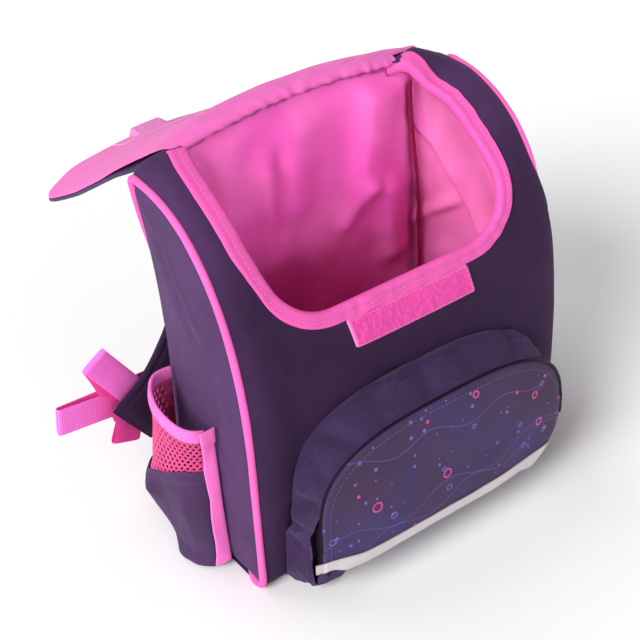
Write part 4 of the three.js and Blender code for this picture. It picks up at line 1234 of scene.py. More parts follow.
def make_binding():
    line = resample(mouth_line(), 300)
    into = turned_left(tangents(line))
    reach = reach_of(line)
    section = np.array(BINDING_SECTION)
    pucker = slack(reach, 0, (0.45, 5, 20), (0.3, 15, 21))
    distance = section[None, :, 0] * (1 + 0.03 * noise(reach, 0, 22, 22))[:, None]
    on_left = line[:, 1:] < 0
    wider = 1 + 0.28 * smooth(205, 235, line[:, :1]) * on_left
    distance = np.where(distance > 0, distance * wider, distance)
    height = section[None, :, 1] + pucker[:, None] * smooth(-3, 2.5, section[:, 1])[None]
    left_dive = smooth(ARC_TURN - 7, ARC_TURN + 1, line[:, :1])
    right_dive = smooth(RIGHT_DIVE_LENGTH, 0, reach[-1] - reach)[:, None]
    height = height - BINDING_DIVE * np.where(on_left, left_dive, right_dive)
    s = line[:, :1] + into[:, :1] * distance
    x = line[:, 1:] + into[:, 1:] * distance
    rings = front_point(np.minimum(s, ARC_END), x, height)
    ridge = np.maximum(hump(section[:, 0], 6.7, 1.2) * (section[:, 1] > 0), hump(section[:, 0], -1.6, 1.6))
    wear = np.tile(0.5 * ridge, len(line))
    binding = tube("opening_binding_tape", rings, reach, reach_of(section), wear=wear)
    finish_sheet(binding, ["opening_binding"], "trim", "binding", (BINDING_WIDTH, float(reach[-1])), "folded")
    sewn = reach < reach[-1] - UNSEWN_END
    s, x = (line + into * BINDING_SEAM)[sewn].T
    seam = (front_point(s, x, 1.4 + pucker[sewn]), front_normal(s, x))
    finish_piece(stitches("opening_binding_thread", [seam], 2.6, 0.9), [], "trim", "thread_pink")


# Closure tapes

CLOSURE_TOP = 171.8
CLOSURE_LEAN = 4.6
CLOSURE_CORNER = 1.2
CLOSURE_THICK = 1.3
CLOSURE_FLAT = (2 * CLOSURE_HALF, CLOSURE_HEIGHT)
CLOSURE_SEAM = 1.7


def closure_grid(step):
    """A closure tape with small round corners, as distances along and across it and in from its edge."""
    u, v = mesh_grid(np.linspace(-CLOSURE_HALF, CLOSURE_HALF, int(2 * CLOSURE_HALF / step)),
                     np.linspace(0, CLOSURE_HEIGHT, int(CLOSURE_HEIGHT / step)))
    near = np.maximum(0, np.abs(v - CLOSURE_HEIGHT / 2) - (CLOSURE_HEIGHT / 2 - CLOSURE_CORNER))
    limit = CLOSURE_HALF - CLOSURE_CORNER + np.sqrt(np.maximum(0, CLOSURE_CORNER ** 2 - near ** 2))
    u = u * limit / CLOSURE_HALF
    return u, v, np.minimum(np.minimum(v, CLOSURE_HEIGHT - v), CLOSURE_HALF - np.abs(u))


def closure_place(u, v):
    """Place of the front tape on the front panel as s and x, and how far its upper edge is pressed down."""
    lean = CLOSURE_LEAN * (1 - v / CLOSURE_HEIGHT)
    return CLOSURE_TOP - CLOSURE_HEIGHT + v, u + lean, smooth(CLOSURE_HEIGHT - 3, CLOSURE_HEIGHT, v)


def make_closure_strip():
    u, v, edge = closure_grid(0.5)
    s, x, pressed = closure_place(u, v)
    pile = slack(u, v, (0.22, 1.1, 23), (0.3, 3.2, 24))
    height = 1.6 + pile * smooth(0.6, 2.4, edge) - 0.7 * smooth(1.2, 0.0, edge) - pressed
    points = front_point(s, x, height + front_relief(s, x))
    strip = grid_cloth("closure_strip_front_tape", points, stack(u, v), CLOSURE_THICK, outward=(0, -1, 0.3),
                       wear=0.5 * smooth(1.4, 0.4, edge))
    finish_sheet(strip, ["closure_strip_front"], "closure", "closure", CLOSURE_FLAT, "laid")
    right, low, high = CLOSURE_HALF - CLOSURE_SEAM, CLOSURE_SEAM, CLOSURE_HEIGHT - CLOSURE_SEAM
    loop = resample([(-right, low), (right, low), (right, high), (-right, high)], 230, closed=True)
    s, x, pressed = closure_place(*loop.T)
    line = (front_point(s, x, 1.65 - pressed + front_relief(s, x)), front_normal(s, x))
    finish_piece(stitches("closure_strip_front_thread", [line], 2.4, 0.8), [], "closure", "thread_pink")


# Lid

LID_LENGTH = 198.0
LID_HINGE_HALF = 96.0
LID_HALF = 111.0
LID_FLARE = 60.0
LID_CORNER = 38.0
LID_RISE_DEG = 10.0
LID_DROOP_DEG = -36.0
LID_CURL_DEG = 14.0
LID_ROLL_DEG = 104.0
LID_BEND = 15.0
LID_HINGE_Y = 48.7
LID_ROLL = 4.0
LID_RIGHT_CUT = 71.0
LID_STEP = 0.25
# Droop of the lid's side edges: distance from the hinge, fall
LID_EDGE_FALL = [(-4, 0), (0, 0), (6, 2.2), (12, 5.5), (20, 7.5), (30, 7.6), (45, 6.6), (70, 6.0), (198, 6.0)]


def lid_line():
    """The lid's middle line: y, z and slope by distance u from the hinge. Below 0 it turns into the mouth."""
    u = np.arange(-LID_ROLL, LID_LENGTH + LID_STEP, LID_STEP)
    bend = LID_DROOP_DEG + (LID_RISE_DEG - LID_DROOP_DEG) * np.exp(-((u / LID_BEND) ** 2))
    slope = bend + LID_CURL_DEG * (np.maximum(u, 0) / LID_LENGTH) ** 2
    rolled = LID_RISE_DEG + (LID_ROLL_DEG - LID_RISE_DEG) * smooth(0, -LID_ROLL, u)
    slope = np.radians(np.where(u < 0, rolled, slope))
    y = np.cumsum(np.cos(slope)) * LID_STEP
    z = np.cumsum(np.sin(slope)) * LID_STEP
    hinge = np.argmin(np.abs(u))
    return u, y - y[hinge] + LID_HINGE_Y, z - z[hinge], slope


LID_U, LID_Y, LID_Z, LID_SLOPE = lid_line()


def lid_side(u):
    return LID_HINGE_HALF + (LID_HALF - LID_HINGE_HALF) * np.clip(u / LID_FLARE, 0, 1)


def lid_half(u):
    over = np.clip(u - (LID_LENGTH - LID_CORNER), 0, LID_CORNER)
    return lid_side(u) - LID_CORNER + np.sqrt(np.maximum(LID_CORNER ** 2 - over ** 2, 0))


def lid_point(u, x, h):
    """Place on the lid, raised by h. Its right end is held up a little."""
    y, z, slope = (np.interp(u, LID_U, row) for row in (LID_Y, LID_Z, LID_SLOPE))
    side = np.abs(x)
    hinge = rim_top(x) + 1.2 - 6 * (side / HALF_WIDTH) ** 8
    held_up = np.where(x > 0, 0.9 * smooth(120, 30, u), 0.0)
    fall = follow(LID_EDGE_FALL, u) * (side / lid_side(u)) ** 4 * (1 - held_up)
    fall = fall - 0.9 * smooth(55, 92, x) * smooth(60, 10, u)
    wave = slack(x, u, (1.2, 55, 25), (0.4, 20, 26)) * smooth(0, 30, u)
    return stack(x, y - np.sin(slope) * (h + wave), hinge + z - fall + np.cos(slope) * (h + wave))


def lid_grid(start, rows, columns):
    corner = LID_LENGTH - LID_CORNER
    turn = np.linspace(0, math.pi / 2, 34)
    rows = np.concatenate([np.linspace(start, corner, rows)[:-1], corner + LID_CORNER * np.sin(turn)])
    return mesh_grid(rows, np.linspace(-1, 1, columns))


def make_lid_lining():
    u, share = lid_grid(-LID_ROLL, 130, 120)
    half = lid_half(np.maximum(u, 0))
    x = share * half
    ruffle = 0.4 * np.sin(x / 1.9 + 3.0 * noise(x, 0, 20, 27)) + 0.8 * noise(x, u, 4, 28)
    pucker = ruffle * hump(u, -LID_ROLL, 1.8)
    soft = 0.8 * noise(x, u, 9, 29) * hump(u, 4, 9)
    roll = 1.6 * hump(u, -1, 5)
    hinge_half = np.where(share > 0, LID_RIGHT_CUT, MOUTH_BACK_HALF - 2.0)
    rolled_half = hinge_half + (LID_HINGE_HALF - hinge_half) * smooth(-LID_ROLL, 0, u)
    narrow = np.where(u < 0, rolled_half, half)
    cut = LID_RIGHT_CUT + (LID_HINGE_HALF - LID_RIGHT_CUT) * smooth(1, 8, u)
    narrow = np.where((share > 0) & (u < 9), np.minimum(narrow, cut), narrow)
    x = share * narrow
    points = lid_point(u, x, 1.0 + pucker + soft + roll)
    edge = np.minimum(narrow - np.abs(x), LID_LENGTH - u)
    inner = grid_cloth("lid_lining_cloth", points, stack(x, u), 0.9, outward=(0, 0.2, 1),
                       wear=0.4 * smooth(3, 0, edge))
    finish_sheet(inner, ["lid_lining"], "lining", "lid", (2 * LID_HALF, LID_LENGTH + LID_ROLL), "hung",
                 grid_area(points))


def make_lid_outer():
    u, share = lid_grid(2.0, 90, 90)
    x = share * lid_half(u)
    belly = 3.0 * hump(u, 30, 22) * smooth(0.2, 0.95, np.abs(share))
    points = lid_point(u, x, -0.5 - belly)
    edge = np.minimum(lid_half(u) - np.abs(x), LID_LENGTH - u)
    outer = grid_cloth("lid_outer_cloth", points, stack(x + 300, u + 200), 2.2, outward=(0, -0.2, 1),
                       wear=0.5 * smooth(4, 0, edge))
    finish_sheet(outer, ["lid_outer"], "print", "print", (2 * LID_HALF, LID_LENGTH), "hung",
                 grid_area(points))


HOOK_PITCH = 1.6


def make_lid_tape():
    """Hook tape along the lid's free edge."""
    u, v, edge = closure_grid(0.6)
    turn = 2 * math.pi / HOOK_PITCH
    hooks = 0.18 * np.sin(u * turn) * np.sin(v * turn) * smooth(1.0, 2.0, edge)
    lifted = 5.0 * smooth(-33, -29, u) * smooth(-2, -8, u) * smooth(3, CLOSURE_HEIGHT, v)
    points = lid_point(LID_LENGTH - CLOSURE_HEIGHT - 4 + v, u, 1.8 + hooks + lifted)
    tape = grid_cloth("closure_strip_lid_tape", points, stack(u, v), CLOSURE_THICK, outward=(0, 0, 1),
                      wear=0.5 * smooth(1.4, 0.4, edge))
    finish_sheet(tape, ["closure_strip_lid"], "closure", "hooks", CLOSURE_FLAT, "laid")


# Front pocket

POCKET_MIDDLE = 55.0
POCKET_FRONT_Y = -88.0
POCKET_DOME = 7.0
UPPER_POWER = 3.0
LOWER_LEFT_POWER = 22.0
LOWER_RIGHT_POWER = 1.75
LOWER_RIGHT_REACH = 1.5
BODY_OUTLINE = {"half": 98.0, "rise": 71.0, "drop": 49.0}
FACE_OUTLINE = {"half": 97.0, "rise": 61.0, "drop": 40.0}
FACE_TURN = 25.0
FACE_UNDER = 14.0
PANEL_FOOT = 14.0
PANEL_FOOT_RISE = 19.0
FACE_SEAM = 4.2
FACE_SEAM_FOOT = 30.0


def pocket_outline(outline, grow, count):
    """The pocket's outline as (x, z) at even distances, from the middle of its foot round by the left."""
    half, rise, drop = (outline[key] + grow for key in ("half", "rise", "drop"))
    sides = []
    angle = np.linspace(-math.pi / 2, math.pi / 2, 400)
    for way, lower, longer in ((-1, LOWER_LEFT_POWER, 1.0), (1, LOWER_RIGHT_POWER, LOWER_RIGHT_REACH)):
        power = np.where(angle > 0, UPPER_POWER, lower)
        reach = np.where(angle > 0, rise, drop * longer)
        x = way * half * np.abs(np.cos(angle)) ** (2 / power)
        z = reach * np.abs(np.sin(angle)) ** (2 / power) * np.sign(angle)
        sides.append(stack(x, POCKET_MIDDLE + np.maximum(z, -drop)))
    return resample(np.vstack([sides[0], sides[1][::-1][1:-1]]), count, closed=True)


def face_share(x, z):
    """Place on the pocket's face from 0 at its middle to 1 at its edge."""
    lower = 7.0 - 4.0 * smooth(-60, 60, x)
    power = np.where(z > POCKET_MIDDLE, UPPER_POWER, lower)
    reach = np.where(z > POCKET_MIDDLE, FACE_OUTLINE["rise"], FACE_OUTLINE["drop"])
    total = (np.abs(x) / FACE_OUTLINE["half"]) ** power + (np.abs(z - POCKET_MIDDLE) / reach) ** power
    return np.minimum(1.0, total ** (1 / power))


def strip_rise(x):
    """How far the tape and the foot of the pocket's face lift towards the pocket's left end."""
    return 4.0 * smooth(-66, -100, x)


def face_under(x, z):
    """How far the foot of the pocket's face turns back under the tape."""
    low = np.maximum(0, FACE_TURN + strip_rise(x) - z)
    return np.minimum(0.2 * low ** 2, FACE_UNDER) * smooth(78, 45, x)


def face_point(x, z, h):
    """Place on the pocket's face, raised by h."""
    share = face_share(x, z)
    relief = slack(x, z, (0.8, 34, 30), (0.3, 13, 31))
    dome = POCKET_DOME * (1 - share ** 2.4) + relief * (1 - share ** 6)
    return stack(x, POCKET_FRONT_Y - dome - h + face_under(x, z), z)


def make_pocket_panel():
    edge = pocket_outline(FACE_OUTLINE, 0.0, 280)
    edge[:, 1] = np.maximum(edge[:, 1], PANEL_FOOT + PANEL_FOOT_RISE * smooth(-58, -84, edge[:, 0]))
    edge = resample(edge, 280, closed=True)
    shares = np.concatenate([np.linspace(0.03, 0.9, 40), np.linspace(0.92, 1.0, 8)])
    centre = np.array([0.0, POCKET_MIDDLE])
    place = centre + shares[:, None, None] * (edge[None] - centre)
    x, z = place[..., 0], place[..., 1]
    hem = np.broadcast_to(smooth(0.985, 1.0, shares)[:, None], x.shape)
    points = face_point(x, z, -1.2 * hem)
    # The hem's rolled edge is painted lighter: a painted highlight.
    panel, area = disc_cloth("pocket_panel_cloth", points, place, 1.5, (0, -1, 0), 0.4 * hem)
    flat = (2 * FACE_OUTLINE["half"], FACE_OUTLINE["rise"] + FACE_OUTLINE["drop"])
    finish_sheet(panel, ["pocket_panel"], "print", "print", flat, "stretched", area)
    seam = pocket_outline(FACE_OUTLINE, -FACE_SEAM, 500)
    seam = seam[seam[:, 1] > FACE_SEAM_FOOT]
    # The seam starts after its longest step, so that its two ends are joined behind the tape
    steps = np.linalg.norm(np.diff(seam, axis=0), axis=1)
    seam = np.roll(seam, -np.argmax(steps) - 1, axis=0)
    line = (face_point(seam[:, 0], seam[:, 1], 0.05), np.tile([0.0, -1.0, 0.0], (len(seam), 1)))
    finish_piece(stitches("pocket_panel_thread", [line], 2.0, 1.1), [], "print", "thread_light")


GUSSET_GIRTH = 620.0
GUSSET_DEPTH = 34.0
GUSSET_FLAT = (620, 45)
GUSSET_FOOT = 1.2
GUSSET_GAPE = 10.5
# Gap between the pocket's face and the gusset's front edge, where the zip lies
ZIP_GAP = 2.2
# Folds of the gusset: place round it (0 to 1 from the foot by the left), depth, spread, slant
GUSSET_FOLDS = [
    (0.165, 2.6, 0.008, 0.010), (0.195, -1.6, 0.010, -0.012), (0.225, 2.8, 0.010, 0.014),
    (0.262, -1.4, 0.012, 0.0), (0.290, 2.2, 0.010, -0.016), (0.335, 1.6, 0.014, 0.018),
    (0.375, 2.0, 0.012, -0.02), (0.43, 1.2, 0.016, 0.02), (0.50, 1.5, 0.014, 0.016),
    (0.56, 1.0, 0.015, -0.02), (0.63, 1.6, 0.012, 0.014), (0.70, 1.8, 0.012, -0.012),
    (0.78, 2.0, 0.010, 0.01),
]
# Upper edge of the lower piece of the gusset's left side: share of the depth, height
GUSSET_STEP = [(-0.1, 44), (0.0, 46.5), (0.2, 51), (0.44, 54), (0.78, 55.5), (1.0, 53)]


def gusset_front_y(x, z):
    """Front edge of the gusset: close behind the face, standing open at the lower left."""
    gape = GUSSET_GAPE * smooth(82, 46, z) * smooth(-60, -88, x)
    return POCKET_FRONT_Y + ZIP_GAP + np.maximum(gape, face_under(x, z) * smooth(-94, -80, x))


def make_gusset():
    count = 440
    rows = np.concatenate([np.linspace(-0.06, 0.1, 6), np.linspace(0.13, 0.9, 30), np.linspace(0.92, 1.0, 6)])
    body = pocket_outline(BODY_OUTLINE, 0.0, count)[None]
    face = pocket_outline(FACE_OUTLINE, -0.6, count)[None]
    depth, place = mesh_grid(rows, np.arange(count) / count)
    run = np.clip(depth, 0, 1)
    ease = smooth(0.1, 0.95, depth)
    x, z = (body[..., k] * (1 - ease) + face[..., k] * ease for k in (0, 1))
    z = z - (6.0 + 3.0 * ease) * smooth(40, 10, z) * smooth(-50, -84, x)
    out = unit(stack(x, z - POCKET_MIDDLE) * [0.75, 1.0])
    swell = np.sin(math.pi * run) ** 0.7
    low = smooth(10, 60, z)
    folds = sum(amount * hump(place + slant * (depth - 0.5), at, spread)
                for at, amount, spread, slant in GUSSET_FOLDS)
    girth, deep = place * GUSSET_GIRTH, depth * GUSSET_DEPTH
    loose = 1.3 * noise(girth, deep, 19, 32) + 0.35 * noise(girth + 2 * deep, deep, 9, 33)
    loose = loose + 0.25 * noise(girth, deep, 4, 41)
    crinkle = (1 - np.abs(noise(girth + 1.6 * deep, 1.3 * deep, 15, 46))) ** 8
    puff = (3.4 * (0.35 + 0.65 * low) - 2.2 * folds + 1.2 * loose + 2.0 * crinkle) * swell
    # The lower piece of the left side overlaps the upper one in a step
    step_z = lookup(GUSSET_STEP, depth)
    left = smooth(-60, -86, x)
    under_step = smooth(step_z + 0.9, step_z - 0.9, z)
    puff += left * ((5.0 - 2.8 * run) * under_step - 1.8 * hump(z, step_z + 3.0, 2.6) * swell)
    x = x + out[..., 0] * puff
    z = np.maximum(z + out[..., 1] * puff, GUSSET_FOOT)
    lip = 0.9 * smooth(0.02, -0.06, depth)
    start = front_face_y(x, z) - 0.7 + lip
    y = start * (1 - run) + gusset_front_y(x, z) * run
    hem = 0.8 * hump(depth, 0.93, 0.02)
    points = stack(x + out[..., 0] * hem, y, np.maximum(z + out[..., 1] * hem, GUSSET_FOOT))
    # Painted highlights along the front hem's edge and along the top of the lower piece under the step; the
    # back edge is a little paler too.
    wear = 0.45 * smooth(0.95, 1.0, depth) + 0.25 * hump(depth, 0.02, 0.03)
    wear = wear + 0.25 * left * hump(z, step_z - 1.5, 1.6)
    gusset = grid_cloth("pocket_gusset_cloth", points, stack(girth, deep), 1.2, wraps=True,
                        outward=stack(out[..., 0], 0.0, out[..., 1]).reshape(-1, 3), wear=wear)
    # The gusset uses a lighter copy of the body cloth, as painted light.
    finish_sheet(gusset, ["pocket_gusset"], "cloth", "cloth_gusset", GUSSET_FLAT, "gathered",
                 grid_area(points))


ZIP_LEFT_Z = 44.0
ZIP_TAPE_LEFT_Z = 22.0
ZIP_RIGHT_Z = 52.0
ZIP_WIDTH = 12.0
COIL_PITCH = 1.3
COIL_HALF = 1.3
# Thickness of a tooth along it
COIL_SWELL = np.array([0.5, 0.8, 0.8, 0.5])


def zip_line(grow, left_end):
    line = pocket_outline(FACE_OUTLINE, grow, 700)
    return line[line[:, 1] > np.where(line[:, 0] < 0, left_end, ZIP_RIGHT_Z)]


def make_zip_tape():
    line = zip_line(-3.4, ZIP_TAPE_LEFT_Z)
    columns = 10
    front = np.full(len(line), POCKET_FRONT_Y + 1.2)
    back = gusset_front_y(line[:, 0], line[:, 1]) + 2.0
    y = front[:, None] + (back - front)[:, None] * np.linspace(0, 1, columns)[None]
    points = stack(line[:, :1], y, line[:, 1:])
    reach = reach_of(line)
    out = stack(line[:, 0], 0.0, line[:, 1] - POCKET_MIDDLE)
    tape = grid_cloth("pocket_zip_tape", points, stack(reach[:, None], y), 0.7,
                      outward=np.repeat(out, columns, 0))
    finish_sheet(tape, ["pocket_zip"], "zip", "zip", (float(reach[-1]), ZIP_WIDTH), "stretched",
                 grid_area(points))


def make_zip_coil():
    """Coil teeth, small short bars side by side, thicker at the right end."""
    coil = resample(zip_line(0.4, ZIP_LEFT_Z), step=COIL_PITCH)
    bar = np.linspace(-COIL_HALF, COIL_HALF, len(COIL_SWELL))
    teeth = []
    for (x, z), (way_x, way_z) in zip(coil, tangents(coil)):
        right = smooth(60, 90, x)
        line = stack(x + 0.8 * right, POCKET_FRONT_Y + ZIP_GAP + bar, z)
        section = (circle(6) * [0.8, 1.0])[None] * COIL_SWELL[:, None, None] * (0.6 + 1.1 * right)
        along, out = (np.tile(way, (len(bar), 1)) for way in ((way_x, 0.0, way_z), (-way_z, 0.0, way_x)))
        teeth.append(sweep_data(line, along, out, section))
    points, faces = merged(teeth)
    piece = make_object("pocket_zip_coil", points, turned_out(points, faces), points[:, ::2])
    finish_piece(piece, [], "zip", "zip")


def rounded_box(name, size, bevel, place):
    """A moulded block, rounded on all edges."""
    mesh = bpy.data.meshes.new(name)
    a, b, c = (value * MM / 2 for value in size)
    corners = [(x, y, z) for x in (-a, a) for y in (-b, b) for z in (-c, c)]
    sides = [(0, 1, 3, 2), (4, 6, 7, 5), (0, 4, 5, 1), (2, 3, 7, 6), (0, 2, 6, 4), (1, 5, 7, 3)]
    mesh.from_pydata(corners, [], sides)
    mesh.polygons.foreach_set("use_smooth", [True] * len(mesh.polygons))
    obj = add_object(name, mesh)
    edge = obj.modifiers.new("edge", "BEVEL")
    edge.width = bevel * MM
    edge.segments = 4
    obj.location = place
    return obj


def make_zip_pull():
    low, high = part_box("zip_pull")
    middle = (low + high) / 2
    body = rounded_box("zip_slider", (2.4, 4.8, 7.0), 0.9,
                       (low.x - 0.1 * MM, middle.y - 0.4 * MM, high.z - 8.0 * MM))
    tab = rounded_box("zip_pull_tab", (1.7, 4.0, 13.0), 0.8,
                      (low.x + 1.2 * MM, middle.y + 0.2 * MM, low.z + 4.0 * MM))
    finish_piece(body, ["zip_pull"], "zip", "zip")
    finish_piece(tab, [], "zip", "zip")


STRIP_BOTTOM = 19.0
STRIP_TOP = 34.0
STRIP_WIDTH = STRIP_TOP - STRIP_BOTTOM
STRIP_WRAP = 9.0
STRIP_NARROW = 7.5


def face_edge(z, power, longer):
    """Half width of the pocket's face at a height in its lower half."""
    down = np.clip((POCKET_MIDDLE - z) / (FACE_OUTLINE["drop"] * longer), 0, 0.999)
    return FACE_OUTLINE["half"] * (1 - down ** power) ** (1 / power)


def make_reflective_strip():
    """Tape across the face, wrapped round its left edge.

    Its foot turns under with the face, but narrows and stays flat at its left end."""
    share, across = mesh_grid(np.linspace(0, 1, 200), np.linspace(0, 1, 17))
    level = STRIP_BOTTOM + STRIP_WIDTH * across
    left = -face_edge(STRIP_TOP, LOWER_LEFT_POWER, 1.0)
    right = face_edge(level, LOWER_RIGHT_POWER, LOWER_RIGHT_REACH) - 0.8
    run = left - STRIP_WRAP + (right - left + STRIP_WRAP) * share
    over = np.maximum(0, left - run)
    x = np.maximum(run, left)
    end = smooth(-72, -94, x)
    z = level + STRIP_NARROW * end * (1 - across) + strip_rise(x) - 0.62 * over
    ripple = 0.25 * noise(x, z, 9, 34) + 0.3 * hump(x, -88, 8) * noise(x, z, 6, 35)
    points = face_point(x, z, 0.7 + ripple)
    points[..., 1] += 0.75 * over - face_under(x, z) * end
    points[..., 0] -= 0.35 * over
    wear = 0.8 * smooth(0.93, 1.0, across) + 0.4 * smooth(0.06, 0.0, across) + 0.5 * smooth(0, 3, over)
    strip = grid_cloth("reflective_strip_tape", points, stack(run, level), 0.6, outward=(0, -1, 0), wear=wear)
    flat = (2 * FACE_OUTLINE["half"], STRIP_WIDTH)
    finish_sheet(strip, ["reflective_strip"], "reflective", "reflective", flat, "laid",
                 grid_area(points))


# Lower edge of the hem that hangs below the tape's left end: x, z
HEM_FOOT = [(-101, 21.5), (-94, 17.8), (-84, 16.4), (-78, 17.0), (-73, 20.0)]
HEM_FLAT = (30, 12)


def make_pocket_hem():
    """Loose hem of the printed face under the tape's left end."""
    x, share = mesh_grid(np.linspace(HEM_FOOT[0][0], HEM_FOOT[-1][0], 50), np.linspace(0, 1, 14))
    foot = lookup(HEM_FOOT, x)
    top = np.maximum(STRIP_BOTTOM + 7.0 + strip_rise(x) * smooth(-101, -95, x), foot + 0.6)
    z = foot + (top - foot) * share
    wave = 1.2 * noise(x, z, 12, 42)
    curl = 3.0 * (1 - share) ** 2 * smooth(-85, -73, x)
    points = stack(x, POCKET_FRONT_Y + ZIP_GAP + wave + curl, z)
    hem = grid_cloth("pocket_hem_cloth", points, stack(x + 60, z + 40), 1.2, outward=(0, -1, 0))
    finish_sheet(hem, [], "print", "print", HEM_FLAT, "hung", grid_area(points))


# Side pockets

SIDE_FRONT_Y = -17.0
SIDE_BACK_Y = 43.0
SIDE_FLOOR = 2.0
# Reach of the side panel's own bulge from its centre
SIDE_HALF_DEPTH = 52.0
SIDE_HALF_HEIGHT = 135.0
RIM_FRONT = 112.0
RIM_BACK = 119.0
RIM_ARCH = 5.0
RIM_BINDING = 8.0
POCKET_GIRTH = 92.0
SLACK_GIRTH = 110.0
MESH_HEIGHT = 50.0
MESH_PITCH = 4.7
MESH_HOLE = 1.42
MESH_THICK = 0.9
# Reach off the side panel, of the mesh and of the front and back halves of the lower cloth: height, reach
MESH_BULGES = [(0, 20.0), (50, 27.0), (74, 26.0), (95, 23.0), (130, 20.5)]
FRONT_BULGES = [(0, 21.5), (7, 20.5), (13, 19.0), (20, 20.0), (34, 22.0), (46, 24.0), (60, 25.5), (90, 26.0)]
BACK_BULGES = [(0, 12.5), (15, 18.0), (27, 23.2), (44, 30.6), (52, 34.2), (60, 29.6), (68, 27.2), (90, 26.0)]
# Seam between the mesh and the lower cloth: share of the way round, height
MESH_SEAM = [(0, 80), (0.1, 81.5), (0.2, 83), (0.3, 80), (0.4, 75), (0.5, 70), (0.6, 64), (0.7, 58), (1, 57)]
# Section of the rim's binding: reach off the pocket, height
RIM_SECTION = [(1.3, 0.0), (1.6, 0.6), (1.8, 4.0), (1.6, 7.0), (0.9, 8.3), (0.0, 8.7), (-0.9, 8.3),
               (-1.6, 7.0), (-1.8, 4.0), (-1.6, 0.6), (-1.3, 0.0), (-0.8, 0.3), (-0.9, 4.0), (-0.8, 6.6),
               (0.0, 7.4), (0.8, 6.6), (0.9, 4.0), (0.8, 0.3)]
# Width of the trim, as a share of the way round the pocket: height, share
TRIM_WIDTH = [(0, 0.115), (25, 0.072), (60, 0.038), (95, 0.05), (120, 0.075)]


def side_reach(y, z):
    share = np.hypot((y - SIDE_CENTRE[0]) / SIDE_HALF_DEPTH, (z - SIDE_CENTRE[1]) / SIDE_HALF_HEIGHT)
    return HALF_WIDTH - pinch(y, z) + SIDE_BULGE * np.maximum(0, 1 - share ** 2)


def rim_height(share):
    arch = RIM_ARCH * np.sin(math.pi * np.clip(share, 0, 1)) ** 0.7
    return RIM_FRONT + (RIM_BACK - RIM_FRONT) * share ** 1.6 + arch


def lower_bulge(share, z):
    """Reach of the lower cloth, which hangs in a pointed fold towards its back."""
    front, back = (lookup(table, z) for table in (FRONT_BULGES, BACK_BULGES))
    gully = -2.4 * hump(share, 0.47, 0.06) * hump(z, 40, 24) - 2.0 * hump(share, 0.34, 0.07) * hump(z, 34, 26)
    ridge = 1.6 * hump(share, 0.25, 0.06) * hump(z, 42, 30)
    loose = slack(share * SLACK_GIRTH, z, (0.7, 15, 36), (0.3, 6, 43))
    return front + (back - front) * smooth(0.42, 0.64, share) + gully + ridge + loose


def side_pocket_point(share, z, h=0.0):
    """Place on the left side pocket: share runs from its front seam to its back seam."""
    angle = share * math.pi
    y = SIDE_FRONT_Y + (SIDE_BACK_Y - SIDE_FRONT_Y) * (1 - np.cos(angle)) / 2
    net = lookup(MESH_BULGES, z) + 0.6 * noise(share * SLACK_GIRTH, z, 22, 37)
    above = smooth(0, 12, z - lookup(MESH_SEAM, share))
    bulge = lower_bulge(share, z) * (1 - above) + net * above
    reach = side_reach(y, z) + 1.6 + bulge * np.sin(angle) ** 0.6
    return stack(-(reach + h * np.sin(angle) ** 0.5), y - h * np.cos(angle) * 0.8, z)


def honeycomb(width, height, pitch, hole):
    """A knitted mesh as cells of a honeycomb, each a ring around a hole: flat points and faces."""
    radius = pitch / math.sqrt(3)
    corners = np.radians(np.arange(6) * 60 + 30)
    ring = stack(np.cos(corners), np.sin(corners)) * radius
    cell = np.stack([ring, (ring + np.roll(ring, -1, axis=0)) / 2], 1).reshape(-1, 2)
    turn = np.arctan2(cell[:, 1], cell[:, 0])
    opening = stack(np.cos(turn) * hole * 0.86, np.sin(turn) * hole * 1.1)
    margin = hole * 1.25
    points, faces, index = [], [], {}

    def place(point):
        key = (round(point[0], 3), round(point[1], 3))
        if key not in index:
            index[key] = len(points)
            points.append(key)
        return index[key]

    for row in range(-1, int(height / (1.5 * radius)) + 2):
        for column in range(-1, int(width / pitch) + 2):
            middle = np.array([(column + 0.5 * (row % 2)) * pitch, row * 1.5 * radius])
            outer = np.clip(middle + cell, (0, 0), (width, height))
            if np.ptp(outer, axis=0).min() < 0.3:
                continue
            rim = [place(point) for point in outer]
            if not ((middle > margin) & (middle < np.array([width, height]) - margin)).all():
                kept = [v for k, v in enumerate(rim) if v != rim[k - 1]]
                if len(set(kept)) > 2:
                    faces.append(kept)
                continue
            edge = [place(point) for point in middle + opening]
            for k in range(len(rim)):
                nxt = (k + 1) % len(rim)
                corner = [rim[k], rim[nxt], edge[nxt], edge[k]]
                faces.append(corner[1:] if rim[k] == rim[nxt] else corner)
    return np.array(points), faces


def side_pocket_lower():
    """Lower cloth with its floor."""
    floor_rows, wall_rows = 8, 58
    rows = np.concatenate([np.zeros(floor_rows), np.linspace(0.004, 1, wall_rows)])
    inward = np.concatenate([np.linspace(0.0, 0.94, floor_rows), np.ones(wall_rows)])[:, None]
    row, share = mesh_grid(rows, np.linspace(0.02, 1, 110))
    z = SIDE_FLOOR + (lookup(MESH_SEAM, share) + 2.5 - SIDE_FLOOR) * row
    points = side_pocket_point(share, z, 0.4 + 1.2 * smooth(0.86, 0.93, row))
    seat = -(side_reach(points[..., 1], points[..., 2]) + 1.4)
    points[..., 0] = seat + (points[..., 0] - seat) * inward
    wear = 0.45 * smooth(0.955, 1.0, row) + 0.25 * hump(z, 3.0, 3.0)
    uv = stack(share * POCKET_GIRTH, z + inward * 20)
    piece = grid_cloth("side_pocket_lower_left_cloth", points, uv, 1.0, outward=(-1, 0, -0.3), wear=wear)
    return piece, grid_area(points)


